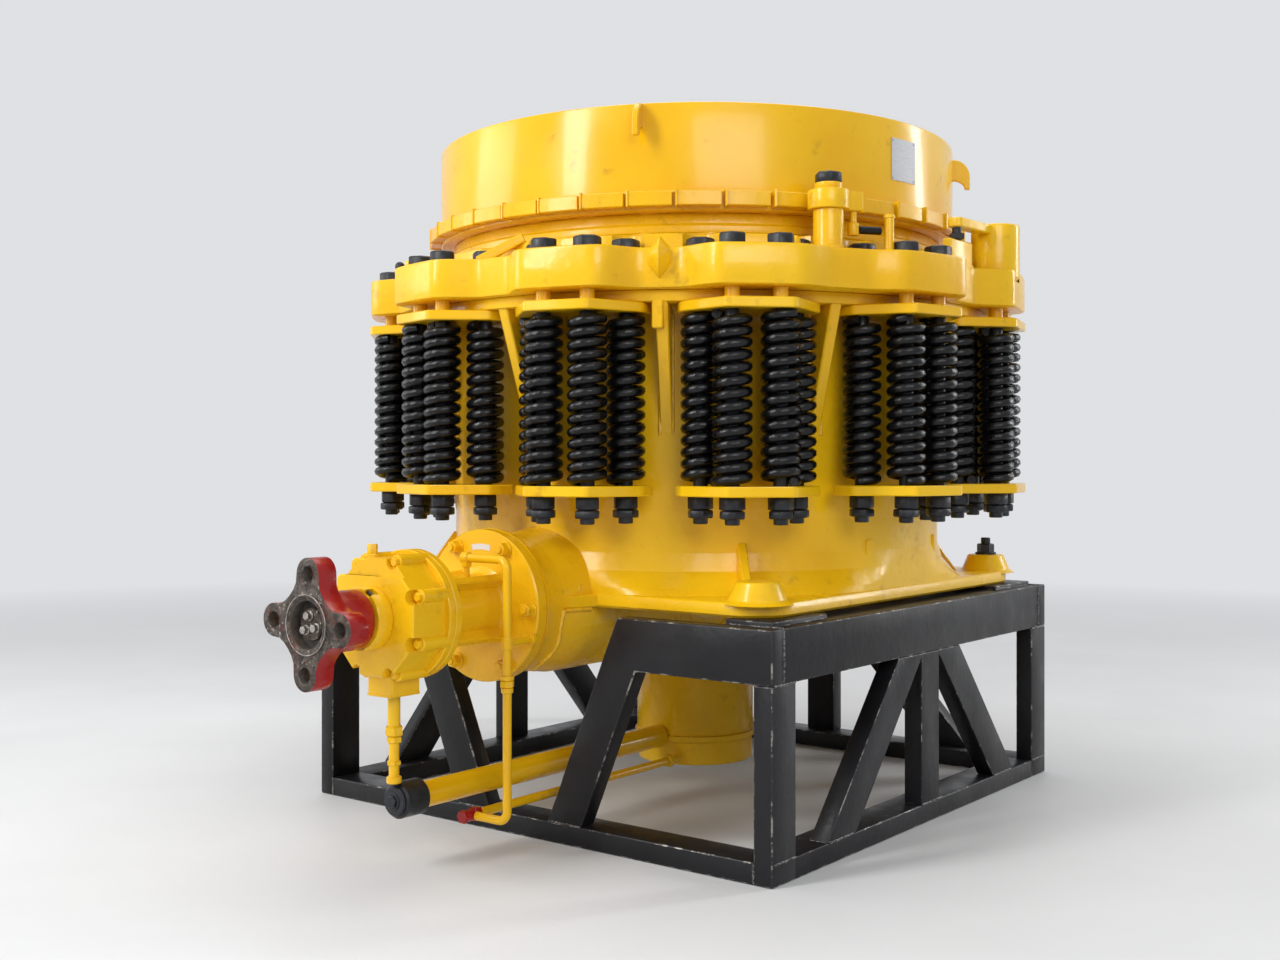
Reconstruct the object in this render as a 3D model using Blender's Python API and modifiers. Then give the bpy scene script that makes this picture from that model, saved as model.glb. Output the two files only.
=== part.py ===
"""Spring cone crusher on a welded stand.

Metres, +Z up, floor at z = 0. The crushing axis is vertical and the countershaft points along -Y.
Pieces are modelled in the frame of an empty on the crushing axis. Pieces that turn with the
countershaft or with the locking pawl are modelled in the frame of an empty on their own axis.
"""

import math

import bmesh
import bpy
from mathutils import Matrix, Vector

# Gaps
SEAT = 0.0003
RUNNING_GAP = 0.008
BITE = 0.006
ROUND_SIDES = 36
INNER_SIDES = 28
SMALL_SIDES = 20

# Driving sizes
SHELL_RADIUS = 0.72
STAND_HIGH = 0.57
FRAME_HIGH = 0.783
HUB_BOTTOM = 0.164

# Shell of the main frame
WAIST_STEP = 0.02
SHELL_WALL = 0.045
SHELL_WAIST_RADIUS = SHELL_RADIUS - WAIST_STEP
SHELL_INNER_RADIUS = SHELL_RADIUS - SHELL_WALL
SHELL_FOOT_INNER_RADIUS = SHELL_WAIST_RADIUS - SHELL_WALL
SHELL_WAIST_Z = STAND_HIGH + 0.23
FRAME_TOP = STAND_HIGH + FRAME_HIGH
TOP_FLANGE_REACH = 0.115
TOP_FLANGE_RADIUS = SHELL_RADIUS + TOP_FLANGE_REACH
TOP_FLANGE_THICK = 0.028
GUSSET_THICK = 0.03
GUSSET_HIGH = 0.325
HUB_RADIUS = 0.171
HUB_BAND = 0.006
HUB_BAND_HIGH = 0.014
HUB_CAP_INSET = 0.004
HUB_CAP_HIGH = 0.082
HUB_CONE_HIGH = 0.06
SOCKET_RADIUS = 0.25
ARM_ANGLES = (45, 135, -135, -45)
ARM_WIDE = 0.12
ARM_RISE = 0.03
ARM_HIGH = 0.16

# Base of the main frame
FLANGE_HALF = SHELL_WAIST_RADIUS
FLANGE_CHAMFER = 0.07
FLANGE_THICK = 0.035
FLARE_HIGH = 0.10
FLARE_REACH = 0.08
ANCHOR_FOOT_RADIUS = 0.07
ANCHOR_TOP_RADIUS = 0.052
ANCHOR_HIGH = 0.047
ANCHOR_PLACE = FLANGE_HALF - ANCHOR_FOOT_RADIUS
BASE_RIB_THICK = 0.022
BASE_RIB_HIGH = 0.125
BASE_RIB_REACH = SHELL_WAIST_RADIUS + 0.10
BASE_RIB_MARGIN = 0.02
BASE_RIB_ANGLES = (-45, -15, 15, 45, 75, 105, 135, 165, -165, -135)

# Stand
STAND_SIDE_MARGIN = 0.06
STAND_END_MARGIN = 0.07
STAND_WIDE = 2 * (FLANGE_HALF + STAND_SIDE_MARGIN)
STAND_LONG = 2 * (FLANGE_HALF + STAND_END_MARGIN)
BAR_FACE = 0.10
BAR_DEEP = 0.05
TOP_RAIL_HIGH = 0.125
SIDE_RAIL_WIDE = 0.16
BRACE_HEAD = 0.175
BRACE_RUN = 0.355
BRACE_FOOT = BRACE_HEAD + BRACE_RUN
SHIM_HIGH = 0.012
SHIM_LONG = 0.24
SHIM_WIDE = 0.13

# Countershaft line, measured out from the shell
SHAFT_Z = STAND_HIGH + 0.02
SHAFT_RADIUS = 0.045
SHAFT_SIDES = 24
BEARING_GAP = 0.0006
BORE_RADIUS = SHAFT_RADIUS + BEARING_GAP
SHAFT_INNER_END = 0.035 - SHELL_FOOT_INNER_RADIUS
NOZZLE_RADIUS = 0.185
NOZZLE_RIM = 0.007
NOZZLE_LONG = 0.144
NOZZLE_FACE = -SHELL_WAIST_RADIUS - NOZZLE_LONG
RIM_THICK = 0.03
FRONT_OPENING_TOP = NOZZLE_RADIUS + 0.135
FRONT_OPENING_FOOT = 0.10
DISC_RADIUS = NOZZLE_RADIUS + 0.002
DISC_THICK = 0.03
NECK_RADIUS = 0.08
NECK_RIB_REACH = NECK_RADIUS + 0.028
NECK_RIB_THICK = 0.02
HOUSING_LONG = 0.206
NECK_END = NOZZLE_FACE - HOUSING_LONG
BACK_RIM_THICK = 0.022
END_LONG = 0.205
END_FACE = NECK_END - END_LONG
END_HALF = 0.134
END_STEP_Z = SHAFT_Z + 0.094
END_STEP_DEEP = 0.012
END_CORNER_REACH = 0.124
END_BOSS_RADIUS = 0.0155
END_SPOT_RADIUS = END_BOSS_RADIUS + 0.0015
END_BOSS_PITCH_RADIUS = 0.1375
END_BOSS_SETBACK = 0.026
BACK_RIM_RADIUS = END_BOSS_PITCH_RADIUS + 0.0145
FILLER_LEFT = -0.087
FILLER_RIGHT = 0.03
FILLER_LONG = 0.09
FILLER_TOP = SHAFT_Z + END_HALF - 0.002
FILLER_PLUG_X = -0.045
FILLER_PLUG_RADIUS = 0.0125
FILLER_PLUG_HIGH = 0.032
FILLER_SEAT_RADIUS = 0.018
FILLER_SEAT_HIGH = 0.009
SUMP_SETBACK = 0.023
SUMP_WIDE = 0.083
SUMP_LONG = 0.088
SUMP_HIGH = 0.048
SUMP_BOTTOM = SHAFT_Z - END_HALF - SUMP_HIGH
COLLAR_RADIUS = 0.072
COLLAR_THICK = 0.041
COUPLING_REACH = 0.19
COUPLING_FACE = END_FACE - COUPLING_REACH
COUPLING_THICK = 0.049
COUPLING_HUB_RADIUS = 0.068
COUPLING_HUB_GAP = 0.006
LOBE_REACH = 0.146
LOBE_RADIUS = 0.034
LOBE_HOLE_RADIUS = 0.018
LOBE_HOLE_PITCH_RADIUS = LOBE_REACH - 0.033
LOBE_WEB_RADIUS = 0.080
COUPLING_RING_RADIUS = 0.069
COUPLING_RING_PROUD = 0.003
COUPLING_MOUTH_RADIUS = 0.055
COUPLING_BORE_DEEP = 0.03

# Bowl, cap and crushing parts
BOWL_SHELL_GAP = 0.008
THREAD_RADIUS = SHELL_INNER_RADIUS - BOWL_SHELL_GAP
RING_BORE_RADIUS = THREAD_RADIUS + 0.012
BOWL_SKIRT_RADIUS = RING_BORE_RADIUS + 0.035
BOWL_NECK_RADIUS = BOWL_SKIRT_RADIUS - 0.008
BOWL_BAND_DROP = 0.026
BOWL_THREAD_HIGH = 0.09
BOWL_STEP = 0.022
RING_HIGH = 0.0975
RING_TOP = FRAME_TOP + RING_HIGH
BOWL_RISE = 0.1055
BOWL_TOP = RING_TOP + BOWL_RISE
BOWL_DROP = 0.273
BOWL_BOTTOM = FRAME_TOP - BOWL_DROP
CAP_RADIUS = BOWL_SKIRT_RADIUS + 0.028
CAP_WALL = 0.027
CAP_HIGH = 0.265
CAP_TOP = BOWL_TOP + CAP_HIGH
CAP_FLOOR_THICK = 0.03
TOOTH_COUNT = 40
FIRST_TOOTH_ANGLE = -58
TOOTH_START_RADIUS = CAP_RADIUS + 0.035
TOOTH_END_RADIUS = CAP_RADIUS + 0.025
TOOTH_LOW = BOWL_TOP + 0.006
TOOTH_HIGH = TOOTH_LOW + 0.044
TOOTH_GAP_ANGLE = 0.9
HOPPER_LEDGE_Z = CAP_TOP - 0.056
HOPPER_LEDGE_IN = CAP_RADIUS - 0.057
HOPPER_LEDGE_THICK = 0.012
HOPPER_THICK = 0.014
HOPPER_TAPER = 0.26
HOPPER_MOUTH_RADIUS = SHELL_RADIUS - HOPPER_TAPER
HOPPER_MOUTH_Z = BOWL_TOP - 0.021
LINER_GAP = 0.009
LINER_TOP = BOWL_TOP - 0.056
LINER_LIP_INSET = 0.122
LINER_LIP_RADIUS = THREAD_RADIUS - LINER_LIP_INSET
LINER_LIP_THICK = 0.035
LINER_TAPER = 0.16
LINER_THROAT_RADIUS = LINER_LIP_RADIUS - LINER_TAPER
LINER_FOOT_THICK = 0.035
LINER_TOP_THICK = 0.105
CAP_FLOOR_RADIUS = LINER_LIP_RADIUS + 0.055
MANTLE_INSET = 0.067
MANTLE_RADIUS = THREAD_RADIUS - MANTLE_INSET
MANTLE_FOOT_DROP = 0.08
MANTLE_FOOT = BOWL_BOTTOM - MANTLE_FOOT_DROP
MANTLE_RISE = 0.05
MANTLE_TOP_DROP = 0.10
MANTLE_TOP = LINER_TOP - MANTLE_TOP_DROP
MANTLE_TOP_RADIUS = 0.20
MANTLE_FLARE = 0.18
MANTLE_WAIST_RADIUS = MANTLE_RADIUS - MANTLE_FLARE
MANTLE_WAIST_HIGH = 0.17
SOCKET_TOP = MANTLE_FOOT - MANTLE_RISE
FEED_PLATE_RADIUS = MANTLE_TOP_RADIUS + 0.03
FEED_PLATE_THICK = 0.035
FEED_PLATE_CROWN = 0.07

# Spring packs
SPRING_GROUPS = 12
GROUP_STEP = 360 / SPRING_GROUPS
FIRST_GROUP = -165
PACK_GAP = 0.025
PLATE_IN = SHELL_RADIUS + 0.015
PLATE_IN_HALF = PLATE_IN * math.tan(math.radians(GROUP_STEP / 2)) - PACK_GAP
INNER_BOLT_REACH = 0.07
INNER_BOLT_RADIUS = SHELL_RADIUS + INNER_BOLT_REACH
INNER_BOLT_INSET = 0.054
INNER_BOLT_SPREAD = PLATE_IN_HALF - INNER_BOLT_INSET
BOLT_ROW_STEP = 0.091
OUTER_BOLT_RADIUS = INNER_BOLT_RADIUS + BOLT_ROW_STEP
OUTER_BOLT_SPREAD = 0.058
SPRING_RADIUS = 0.049
SPRING_SIDES = 8
PLATE_EDGE = 0.059
PLATE_OUT = OUTER_BOLT_RADIUS + PLATE_EDGE
PLATE_OUT_HALF = OUTER_BOLT_SPREAD + 0.025
PLATE_SHOULDER = INNER_BOLT_RADIUS + 0.02
UPPER_PLATE_THICK = 0.024
LOWER_PLATE_DROP = 0.468
LOWER_PLATE_TOP = FRAME_TOP - LOWER_PLATE_DROP
LOWER_PLATE_THICK = 0.025
NUT_RADIUS = 0.031
NUT_STACK_HIGH = 0.052
SLEEVE_RADIUS = 0.018

# Adjustment ring
LOBE_OUT = PLATE_OUT
VALLEY_OUT = LOBE_OUT - 0.078
POST_VALLEY_OUT = LOBE_OUT - 0.035
LOBE_FLAT_HALF_ANGLE = 5.5
VALLEY_HALF_ANGLE = 12.5
COLLAR_IN = BOWL_SKIRT_RADIUS + 0.008
COLLAR_OUT = INNER_BOLT_RADIUS - 0.006
COLLAR_HIGH = 0.045
COLLAR_POCKET_RADIUS = 0.043
LUG_ANGLES = (-120, -60, 60, 120, 180)
LUG_PLACE = VALLEY_OUT - 0.017
LUG_Z = RING_TOP - 0.0305
LUG_RADIUS = 0.055
LUG_SIDE_RADIUS = 0.022
LUG_HALF_WIDE = 0.03
BAR_FOOT_ANGLE = -93.9
BAR_HEAD_ANGLE = -88
BAR_HEAD_RISE = 0.056
BAR_RADIUS = 0.017

# Lifting hooks on the cap
HOOK_ANGLES = (-65, 55, 175)
HOOK_THICK = 0.028
HOOK_TOP = CAP_TOP - 0.069
HOOK_HIGH = 0.097
HOOK_REACH = 0.05

# Locking post and pawl
POST_ANGLE = -32
POST_PLACE = POST_VALLEY_OUT - 0.065
POST_RADIUS = 0.037
PAWL_LOW = RING_TOP + 0.0975
PAWL_HIGH = PAWL_LOW + 0.046
POST_TOP = PAWL_HIGH + 0.018
POST_HEAD_RADIUS = 0.034
POST_HEAD_TOP = POST_TOP + 0.026
PAWL_COLLAR_RADIUS = POST_RADIUS + 0.013
POST_NECK_RADIUS = POST_RADIUS - 0.009
PAWL_BORE_RADIUS = POST_NECK_RADIUS + 0.0015
PAWL_ARM_LONG = 0.085
PAWL_ARM_WIDE = 0.036
PAWL_PIN_RADIUS = 0.008
PAWL_PIN_LOW = PAWL_LOW - 0.028
PAWL_EYE_RADIUS = 0.014
PAWL_EYE_HIGH = 0.03
PAWL_ROD_RADIUS = 0.010
PAWL_ROD_GAP = 0.006
STOP_ANGLE = -21.5
STOP_PLACE = LOBE_OUT - 0.072
STOP_RADIUS = 0.012
STOP_TOP = RING_TOP + 0.0945

# Clamping cylinder, which takes the place of one outer bolt of the ring
CYLINDER_ANGLE = 11.3
CYLINDER_PLACE = OUTER_BOLT_RADIUS
CYLINDER_RADIUS = 0.0635
CYLINDER_SUNK = 0.03
CYLINDER_HIGH = 0.1225
CYLINDER_EDGE = 0.012
CLAMP_ARM_ANGLE = -2.5
CLAMP_ARM_PLACE = VALLEY_OUT - 0.009
CLAMP_ARM_WIDE = 0.04
CLAMP_ARM_THICK = 0.024
CLAMP_ARM_DROP = 0.004
BRACKET_ANGLE = -1.5
BRACKET_OUT = VALLEY_OUT - 0.002
BRACKET_HALF = 0.06
BRACKET_THICK = 0.026
BRACKET_HIGH = 0.0625

# Oil pipes
RETURN_PIPE_Z = HUB_BOTTOM - 0.002
RETURN_PIPE_RADIUS = 0.031
DRAIN_PIPE_Y = END_FACE + SUMP_SETBACK + SUMP_LONG / 2
DRAIN_PIPE_RADIUS = 0.012
DRAIN_UNION_Z = 0.32
ELBOW_Y = DRAIN_PIPE_Y + 0.034
ELBOW_HALF = 0.045
ELBOW_RADIUS = RETURN_PIPE_RADIUS + 0.011
THIN_PIPE_X = 0.058
THIN_PIPE_Y = NECK_END + 0.05
THIN_PIPE_Z = HUB_BOTTOM - 0.061
THIN_PIPE_RADIUS = 0.011
VALVE_RADIUS = 0.018
VALVE_HALF = 0.03
UNION_HALF = 0.015
SUPPLY_X = DISC_RADIUS - 0.013
SUPPLY_Y = NECK_END + 0.055
SUPPLY_RADIUS = 0.0105
SUPPLY_START_X = 0.03
SUPPLY_TOP = SHAFT_Z + 0.124
SUPPLY_TEE_Z = SHAFT_Z - 0.07
SUPPLY_UNION_Z = SHAFT_Z - 0.16

# The middle of the footprint lies halfway between the coupling and the rear spring plates.
REAR_ANGLE = math.radians(GROUP_STEP / 2)
REAR_REACH = PLATE_OUT * math.cos(REAR_ANGLE) + PLATE_OUT_HALF * math.sin(REAR_ANGLE)
AXIS_Y = (-COUPLING_FACE - REAR_REACH) / 2

BASE_Z = STAND_HIGH + SHIM_HIGH + SEAT
FLANGE_TOP = BASE_Z + FLANGE_THICK
ARM_LOW = STAND_HIGH + ARM_RISE
TOP_FLANGE_LOW = FRAME_TOP - TOP_FLANGE_THICK
GUSSET_FOOT = TOP_FLANGE_LOW - GUSSET_HIGH
RING_LOW = FRAME_TOP + SEAT
UPPER_PLATE_TOP = TOP_FLANGE_LOW - SEAT
GROUP_ANGLES = [FIRST_GROUP + GROUP_STEP * step for step in range(SPRING_GROUPS)]
GUSSET_ANGLES = [angle + GROUP_STEP / 2 for angle in GROUP_ANGLES]
EIGHTHS = [22.5 + 45 * step for step in range(8)]


def remove_scene_objects():
    for obj in list(bpy.data.objects):
        bpy.data.objects.remove(obj, do_unlink=True)


def new_collection(name):
    collection = bpy.data.collections.new(name)
    bpy.context.scene.collection.children.link(collection)
    return collection


remove_scene_objects()
PARTS = new_collection("cone_crusher")
CUTTERS = new_collection("cutters")


def empty(name, place, parent=None):
    obj = bpy.data.objects.new(name, None)
    PARTS.objects.link(obj)
    obj.location = place
    obj.parent = parent
    return obj


CRUSHER = empty("crushing_axis", (0, AXIS_Y, 0))
SHAFT_LINE = empty("countershaft_axis", (0, 0, SHAFT_Z), CRUSHER)


def on_axis(angle, radius, z=0.0):
    """A point at this angle and radius from the crushing axis."""
    turn = math.radians(angle)
    return Vector((radius * math.cos(turn), radius * math.sin(turn), z))


PAWL_LINE = empty("pawl_axis", on_axis(POST_ANGLE, POST_PLACE), CRUSHER)
PAWL_LINE.rotation_euler = (0, 0, math.radians(POST_ANGLE))


def material(name, colour, roughness, metallic=0.0):
    made = bpy.data.materials.new(name)
    made.use_nodes = True
    shader = made.node_tree.nodes["Principled BSDF"]
    shader.inputs["Base Color"].default_value = (*colour, 1)
    shader.inputs["Roughness"].default_value = roughness
    shader.inputs["Metallic"].default_value = metallic
    return made


YELLOW = (0.85, 0.50, 0.01)
BLACK = (0.012, 0.012, 0.014)
RED = (0.32, 0.01, 0.012)
FINISHES = {
    "yellow": (YELLOW, 0.35, 0.0),
    "black": (BLACK, 0.45, 0.0),
    "red": (RED, 0.4, 0.0),
    "steel": ((0.42, 0.40, 0.38), 0.45, 1.0),
}


def from_bmesh(name, bm, parent):
    mesh = bpy.data.meshes.new(name)
    bmesh.ops.recalc_face_normals(bm, faces=bm.faces)
    bm.to_mesh(mesh)
    bm.free()
    return helper(name, mesh, parent)


def helper(name, mesh, parent):
    """An object that is only a cutter or an ingredient until node() shows it."""
    obj = bpy.data.objects.new(name, mesh)
    CUTTERS.objects.link(obj)
    obj.parent = parent
    obj.hide_render = True
    obj.display_type = "WIRE"
    return obj


def block(low, high, parent=CRUSHER, turn=0.0):
    """A box between two corners, turned about the parent's Z axis by some degrees."""
    low, high = Vector(low), Vector(high)
    bm = bmesh.new()
    size = Matrix.Diagonal((*(high - low), 1))
    place = Matrix.Rotation(math.radians(turn), 4, "Z") @ Matrix.Translation((low + high) / 2)
    bmesh.ops.create_cube(bm, size=1, matrix=place @ size)
    return from_bmesh("block", bm, parent)


def rod(start, end, radius, parent=CRUSHER, sides=SMALL_SIDES, end_radius=None, twist=0.0):
    """A cylinder, or a cone where end_radius differs, between two points."""
    start, end = Vector(start), Vector(end)
    along = end - start
    place = Matrix.Translation((start + end) / 2) @ along.to_track_quat("Z", "Y").to_matrix().to_4x4()
    bm = bmesh.new()
    bmesh.ops.create_cone(
        bm,
        cap_ends=True,
        segments=sides,
        radius1=radius,
        radius2=radius if end_radius is None else end_radius,
        depth=along.length,
        matrix=place @ Matrix.Rotation(math.radians(twist), 4, "Z"),
    )
    return from_bmesh("rod", bm, parent)


def turned(profile, parent=CRUSHER, sides=ROUND_SIDES):
    """A solid of revolution about Z. The closed profile runs down its outer side first."""
    mesh = bpy.data.meshes.new("turned")
    count = len(profile)
    edges = [(index, (index + 1) % count) for index in range(count)]
    mesh.from_pydata([(radius, 0, z) for radius, z in profile], edges, [])
    obj = helper("turned", mesh, parent)
    screw = obj.modifiers.new("turn", "SCREW")
    screw.axis = "Z"
    screw.steps = sides
    screw.render_steps = sides
    screw.use_merge_vertices = True
    screw.merge_threshold = 0.0001
    return obj


FLAT = Matrix.Identity(4)
FACING_FRONT = Matrix(((1, 0, 0, 0), (0, 0, -1, 0), (0, 1, 0, 0), (0, 0, 0, 1)))
FACING_SIDE = Matrix(((0, 0, 1, 0), (1, 0, 0, 0), (0, 1, 0, 0), (0, 0, 0, 1)))


def plate(outlines, low, high, plane=FLAT, parent=CRUSHER, turn=0.0):
    """A flat outline, with holes as further outlines, thickened from low to high across its plane."""
    curve = bpy.data.curves.new("plate", "CURVE")
    curve.dimensions = "2D"
    curve.fill_mode = "BOTH"
    curve.extrude = (high - low) / 2
    for outline in outlines:
        spline = curve.splines.new("POLY")
        spline.points.add(len(outline) - 1)
        for point, (x, y) in zip(spline.points, outline):
            point.co = (x, y, 0, 1)
        spline.use_cyclic_u = True
    place = Matrix.Rotation(math.radians(turn), 4, "Z") @ plane @ Matrix.Translation((0, 0, (low + high) / 2))
    return curve_as_mesh(curve, place, parent)


def curve_as_mesh(curve, place, parent):
    obj = bpy.data.objects.new("outline", curve)
    CUTTERS.objects.link(obj)
    mesh = bpy.data.meshes.new_from_object(obj.evaluated_get(bpy.context.evaluated_depsgraph_get()))
    bpy.data.objects.remove(obj)
    bpy.data.curves.remove(curve)
    bm = bmesh.new()
    bm.from_mesh(mesh)
    bpy.data.meshes.remove(mesh)
    bmesh.ops.remove_doubles(bm, verts=bm.verts, dist=0.00001)
    bm.transform(place)
    return from_bmesh("plate", bm, parent)


def circle(radius, centre=(0.0, 0.0), sides=SMALL_SIDES, start=0.0):
    """Points of a circle, for an outline."""
    turns = [math.radians(start) + math.tau * step / sides for step in range(sides)]
    return [(centre[0] + radius * math.cos(turn), centre[1] + radius * math.sin(turn)) for turn in turns]


def rounded_route(corners, radius, steps=4):
    """The corners of a pipe's run, each replaced by an arc of this radius."""
    points = [Vector(corners[0])]
    for before, corner, after in zip(corners, corners[1:], corners[2:]):
        corner = Vector(corner)
        inward = (Vector(before) - corner).normalized()
        outward = (Vector(after) - corner).normalized()
        middle = (inward + outward).normalized()
        half = inward.angle(outward) / 2
        centre = corner + middle * (radius / math.sin(half))
        first = corner + inward * (radius / math.tan(half)) - centre
        last = corner + outward * (radius / math.tan(half)) - centre
        for step in range(steps + 1):
            points.append(centre + first.slerp(last, step / steps).normalized() * radius)
    return points + [Vector(corners[-1])]


def pipe(corners, radius, bend=0.03, parent=CRUSHER):
    curve = bpy.data.curves.new("pipe", "CURVE")
    curve.dimensions = "3D"
    curve.bevel_depth = radius
    curve.bevel_resolution = 2
    curve.use_fill_caps = True
    route = rounded_route(corners, bend)
    spline = curve.splines.new("POLY")
    spline.points.add(len(route) - 1)
    for point, place in zip(spline.points, route):
        point.co = (*place, 1)
    return curve_as_mesh(curve, Matrix.Identity(4), parent)


def together(pieces):
    """One ingredient made of several closed shapes that don't touch each other."""
    bm = bmesh.new()
    for piece in pieces:
        bm.from_mesh(piece.data)
    parent = pieces[0].parent
    for piece in pieces:
        bpy.data.objects.remove(piece)
    return from_bmesh("together", bm, parent)


def node(name, base, finish, add=(), cut=()):
    """Shows the base object as a piece of the crusher, joined with add and cut by cut."""
    CUTTERS.objects.unlink(base)
    PARTS.objects.link(base)
    base.name = name
    base.data.name = name
    base.hide_render = False
    base.display_type = "TEXTURED"
    base.data.materials.append(material(name, *FINISHES[finish]))
    for operation, operands in (("UNION", add), ("DIFFERENCE", cut)):
        for operand in operands:
            change = base.modifiers.new(operation.lower(), "BOOLEAN")
            change.operation = operation
            change.solver = "EXACT"
            change.object = operand
    return base


def mirrored_sides():
    return (("left", -1), ("right", 1))


def span(first, second):
    return (min(first, second), max(first, second))


def stand_bottom_rails():
    half_x, half_y = STAND_WIDE / 2, STAND_LONG / 2
    for name, side in mirrored_sides():
        inner, outer = span(side * (half_x - BAR_FACE), side * half_x)
        reach = half_y - BAR_FACE - SEAT
        node(f"stand_bottom_rail_{name}", block((inner, -reach, 0), (outer, reach, BAR_DEEP)), "black")
    for name, side in (("front", -1), ("back", 1)):
        inner, outer = span(side * (half_y - BAR_FACE), side * half_y)
        reach = half_x - BAR_DEEP - SEAT
        node(f"stand_bottom_rail_{name}", block((-reach, inner, 0), (reach, outer, BAR_DEEP)), "black")


def stand_posts():
    half_x, half_y = STAND_WIDE / 2, STAND_LONG / 2
    high = STAND_HIGH - TOP_RAIL_HIGH - SEAT
    for end_name, end in (("front", -1), ("back", 1)):
        low_y, high_y = span(end * (half_y - BAR_FACE), end * half_y)
        for name, side in mirrored_sides():
            low_x, high_x = span(side * (half_x - BAR_DEEP), side * half_x)
            post = block((low_x, low_y, 0), (high_x, high_y, high))
            node(f"stand_post_{end_name}_{name}", post, "black")


def stand_side_top_rails():
    """Side rails with the four shims that the base flange rests on."""
    half_x, half_y = STAND_WIDE / 2, STAND_LONG / 2
    reach = half_y - BAR_DEEP - SEAT
    low = STAND_HIGH - TOP_RAIL_HIGH
    for name, side in mirrored_sides():
        inner, outer = span(side * (half_x - SIDE_RAIL_WIDE), side * half_x)
        rail = block((inner, -reach, low), (outer, reach, STAND_HIGH))
        near, far = span(side * (half_x - SIDE_RAIL_WIDE), side * (half_x - SIDE_RAIL_WIDE + SHIM_WIDE))
        shims = []
        for end in (-1, 1):
            start, stop = span(end * (reach - SHIM_LONG), end * reach)
            shims.append(block((near, start, low + BAR_DEEP), (far, stop, STAND_HIGH + SHIM_HIGH)))
        node(f"stand_top_rail_{name}", rail, "black", add=shims)


def stand_back_top_rail():
    half_x, half_y = STAND_WIDE / 2, STAND_LONG / 2
    low = STAND_HIGH - TOP_RAIL_HIGH
    rail = block((-half_x, half_y - BAR_DEEP, low), (half_x, half_y, STAND_HIGH))
    node("stand_top_rail_back", rail, "black")


def stand_front_legs():
    """Each front rail stops beside the drive and turns down into a slanted leg."""
    half_x, half_y = STAND_WIDE / 2, STAND_LONG / 2
    low = STAND_HIGH - TOP_RAIL_HIGH
    foot = BAR_DEEP + SEAT
    lean = (FRONT_OPENING_TOP - FRONT_OPENING_FOOT) / (STAND_HIGH - foot)
    wide = BAR_FACE * math.hypot(1, lean)
    for name, side in mirrored_sides():
        outline = [
            (side * half_x, STAND_HIGH),
            (side * FRONT_OPENING_TOP, STAND_HIGH),
            (side * FRONT_OPENING_FOOT, foot),
            (side * (FRONT_OPENING_FOOT + wide), foot),
            (side * (FRONT_OPENING_FOOT + wide + lean * (low - foot)), low),
            (side * half_x, low),
        ]
        leg = plate([outline], half_y - BAR_DEEP, half_y, FACING_FRONT)
        node(f"stand_front_leg_{name}", leg, "black")


def brace(plane, low_across, high_across):
    """A middle post with a diagonal on each side, drawn in the plane of one side of the stand."""
    foot = BAR_DEEP + SEAT
    head = STAND_HIGH - TOP_RAIL_HIGH - SEAT
    lean = (BRACE_FOOT - BRACE_HEAD) / (head - foot)
    wide = BAR_FACE * math.hypot(1, lean)
    post_half = BAR_FACE / 2
    post = [(-post_half, foot), (post_half, foot), (post_half, head), (-post_half, head)]
    diagonals = []
    for side in (-1, 1):
        diagonal = [
            (side * BRACE_FOOT, foot),
            (side * (BRACE_FOOT - wide), foot),
            (side * (BRACE_HEAD - wide), head),
            (side * BRACE_HEAD, head),
        ]
        diagonals.append(plate([diagonal], low_across, high_across, plane))
    return plate([post], low_across, high_across, plane), diagonals


def stand_braces():
    half_x, half_y = STAND_WIDE / 2, STAND_LONG / 2
    for name, side in mirrored_sides():
        low, high = span(side * (half_x - BAR_DEEP), side * half_x)
        post, diagonals = brace(FACING_SIDE, low, high)
        node(f"stand_brace_{name}", post, "black", add=diagonals)
    post, diagonals = brace(FACING_FRONT, -half_y, -half_y + BAR_DEEP)
    node("stand_brace_back", post, "black", add=diagonals)


def square_outline(half, chamfer):
    corner = half - chamfer
    return [
        (half, -corner),
        (half, corner),
        (corner, half),
        (-corner, half),
        (-half, corner),
        (-half, -corner),
        (-corner, -half),
        (corner, -half),
    ]


def radial_web(angle, inner, outer_foot, outer_top, low, high, thick):
    """A web standing out from the shell: outer_foot and outer_top are its reach at its foot and top."""
    outline = [(inner, low), (outer_foot, low), (outer_top, high), (inner, high)]
    return plate([outline], -thick / 2, thick / 2, FACING_FRONT, turn=angle)


def frame_shell():
    """The round wall with its top flange and its flare into the base, not yet hollowed to size."""
    core = SHELL_FOOT_INNER_RADIUS - 2 * BITE
    profile = [
        (TOP_FLANGE_RADIUS, FRAME_TOP),
        (TOP_FLANGE_RADIUS, TOP_FLANGE_LOW),
        (SHELL_RADIUS, TOP_FLANGE_LOW),
        (SHELL_RADIUS, GUSSET_FOOT),
        (SHELL_WAIST_RADIUS, SHELL_WAIST_Z),
        (SHELL_WAIST_RADIUS, FLANGE_TOP + FLARE_HIGH),
        (SHELL_WAIST_RADIUS + FLARE_REACH / 4, FLANGE_TOP + FLARE_HIGH / 2),
        (SHELL_WAIST_RADIUS + FLARE_REACH, FLANGE_TOP - FLANGE_THICK / 2),
        (core, FLANGE_TOP - FLANGE_THICK / 2),
        (core, FRAME_TOP),
    ]
    return turned(profile)


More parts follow.
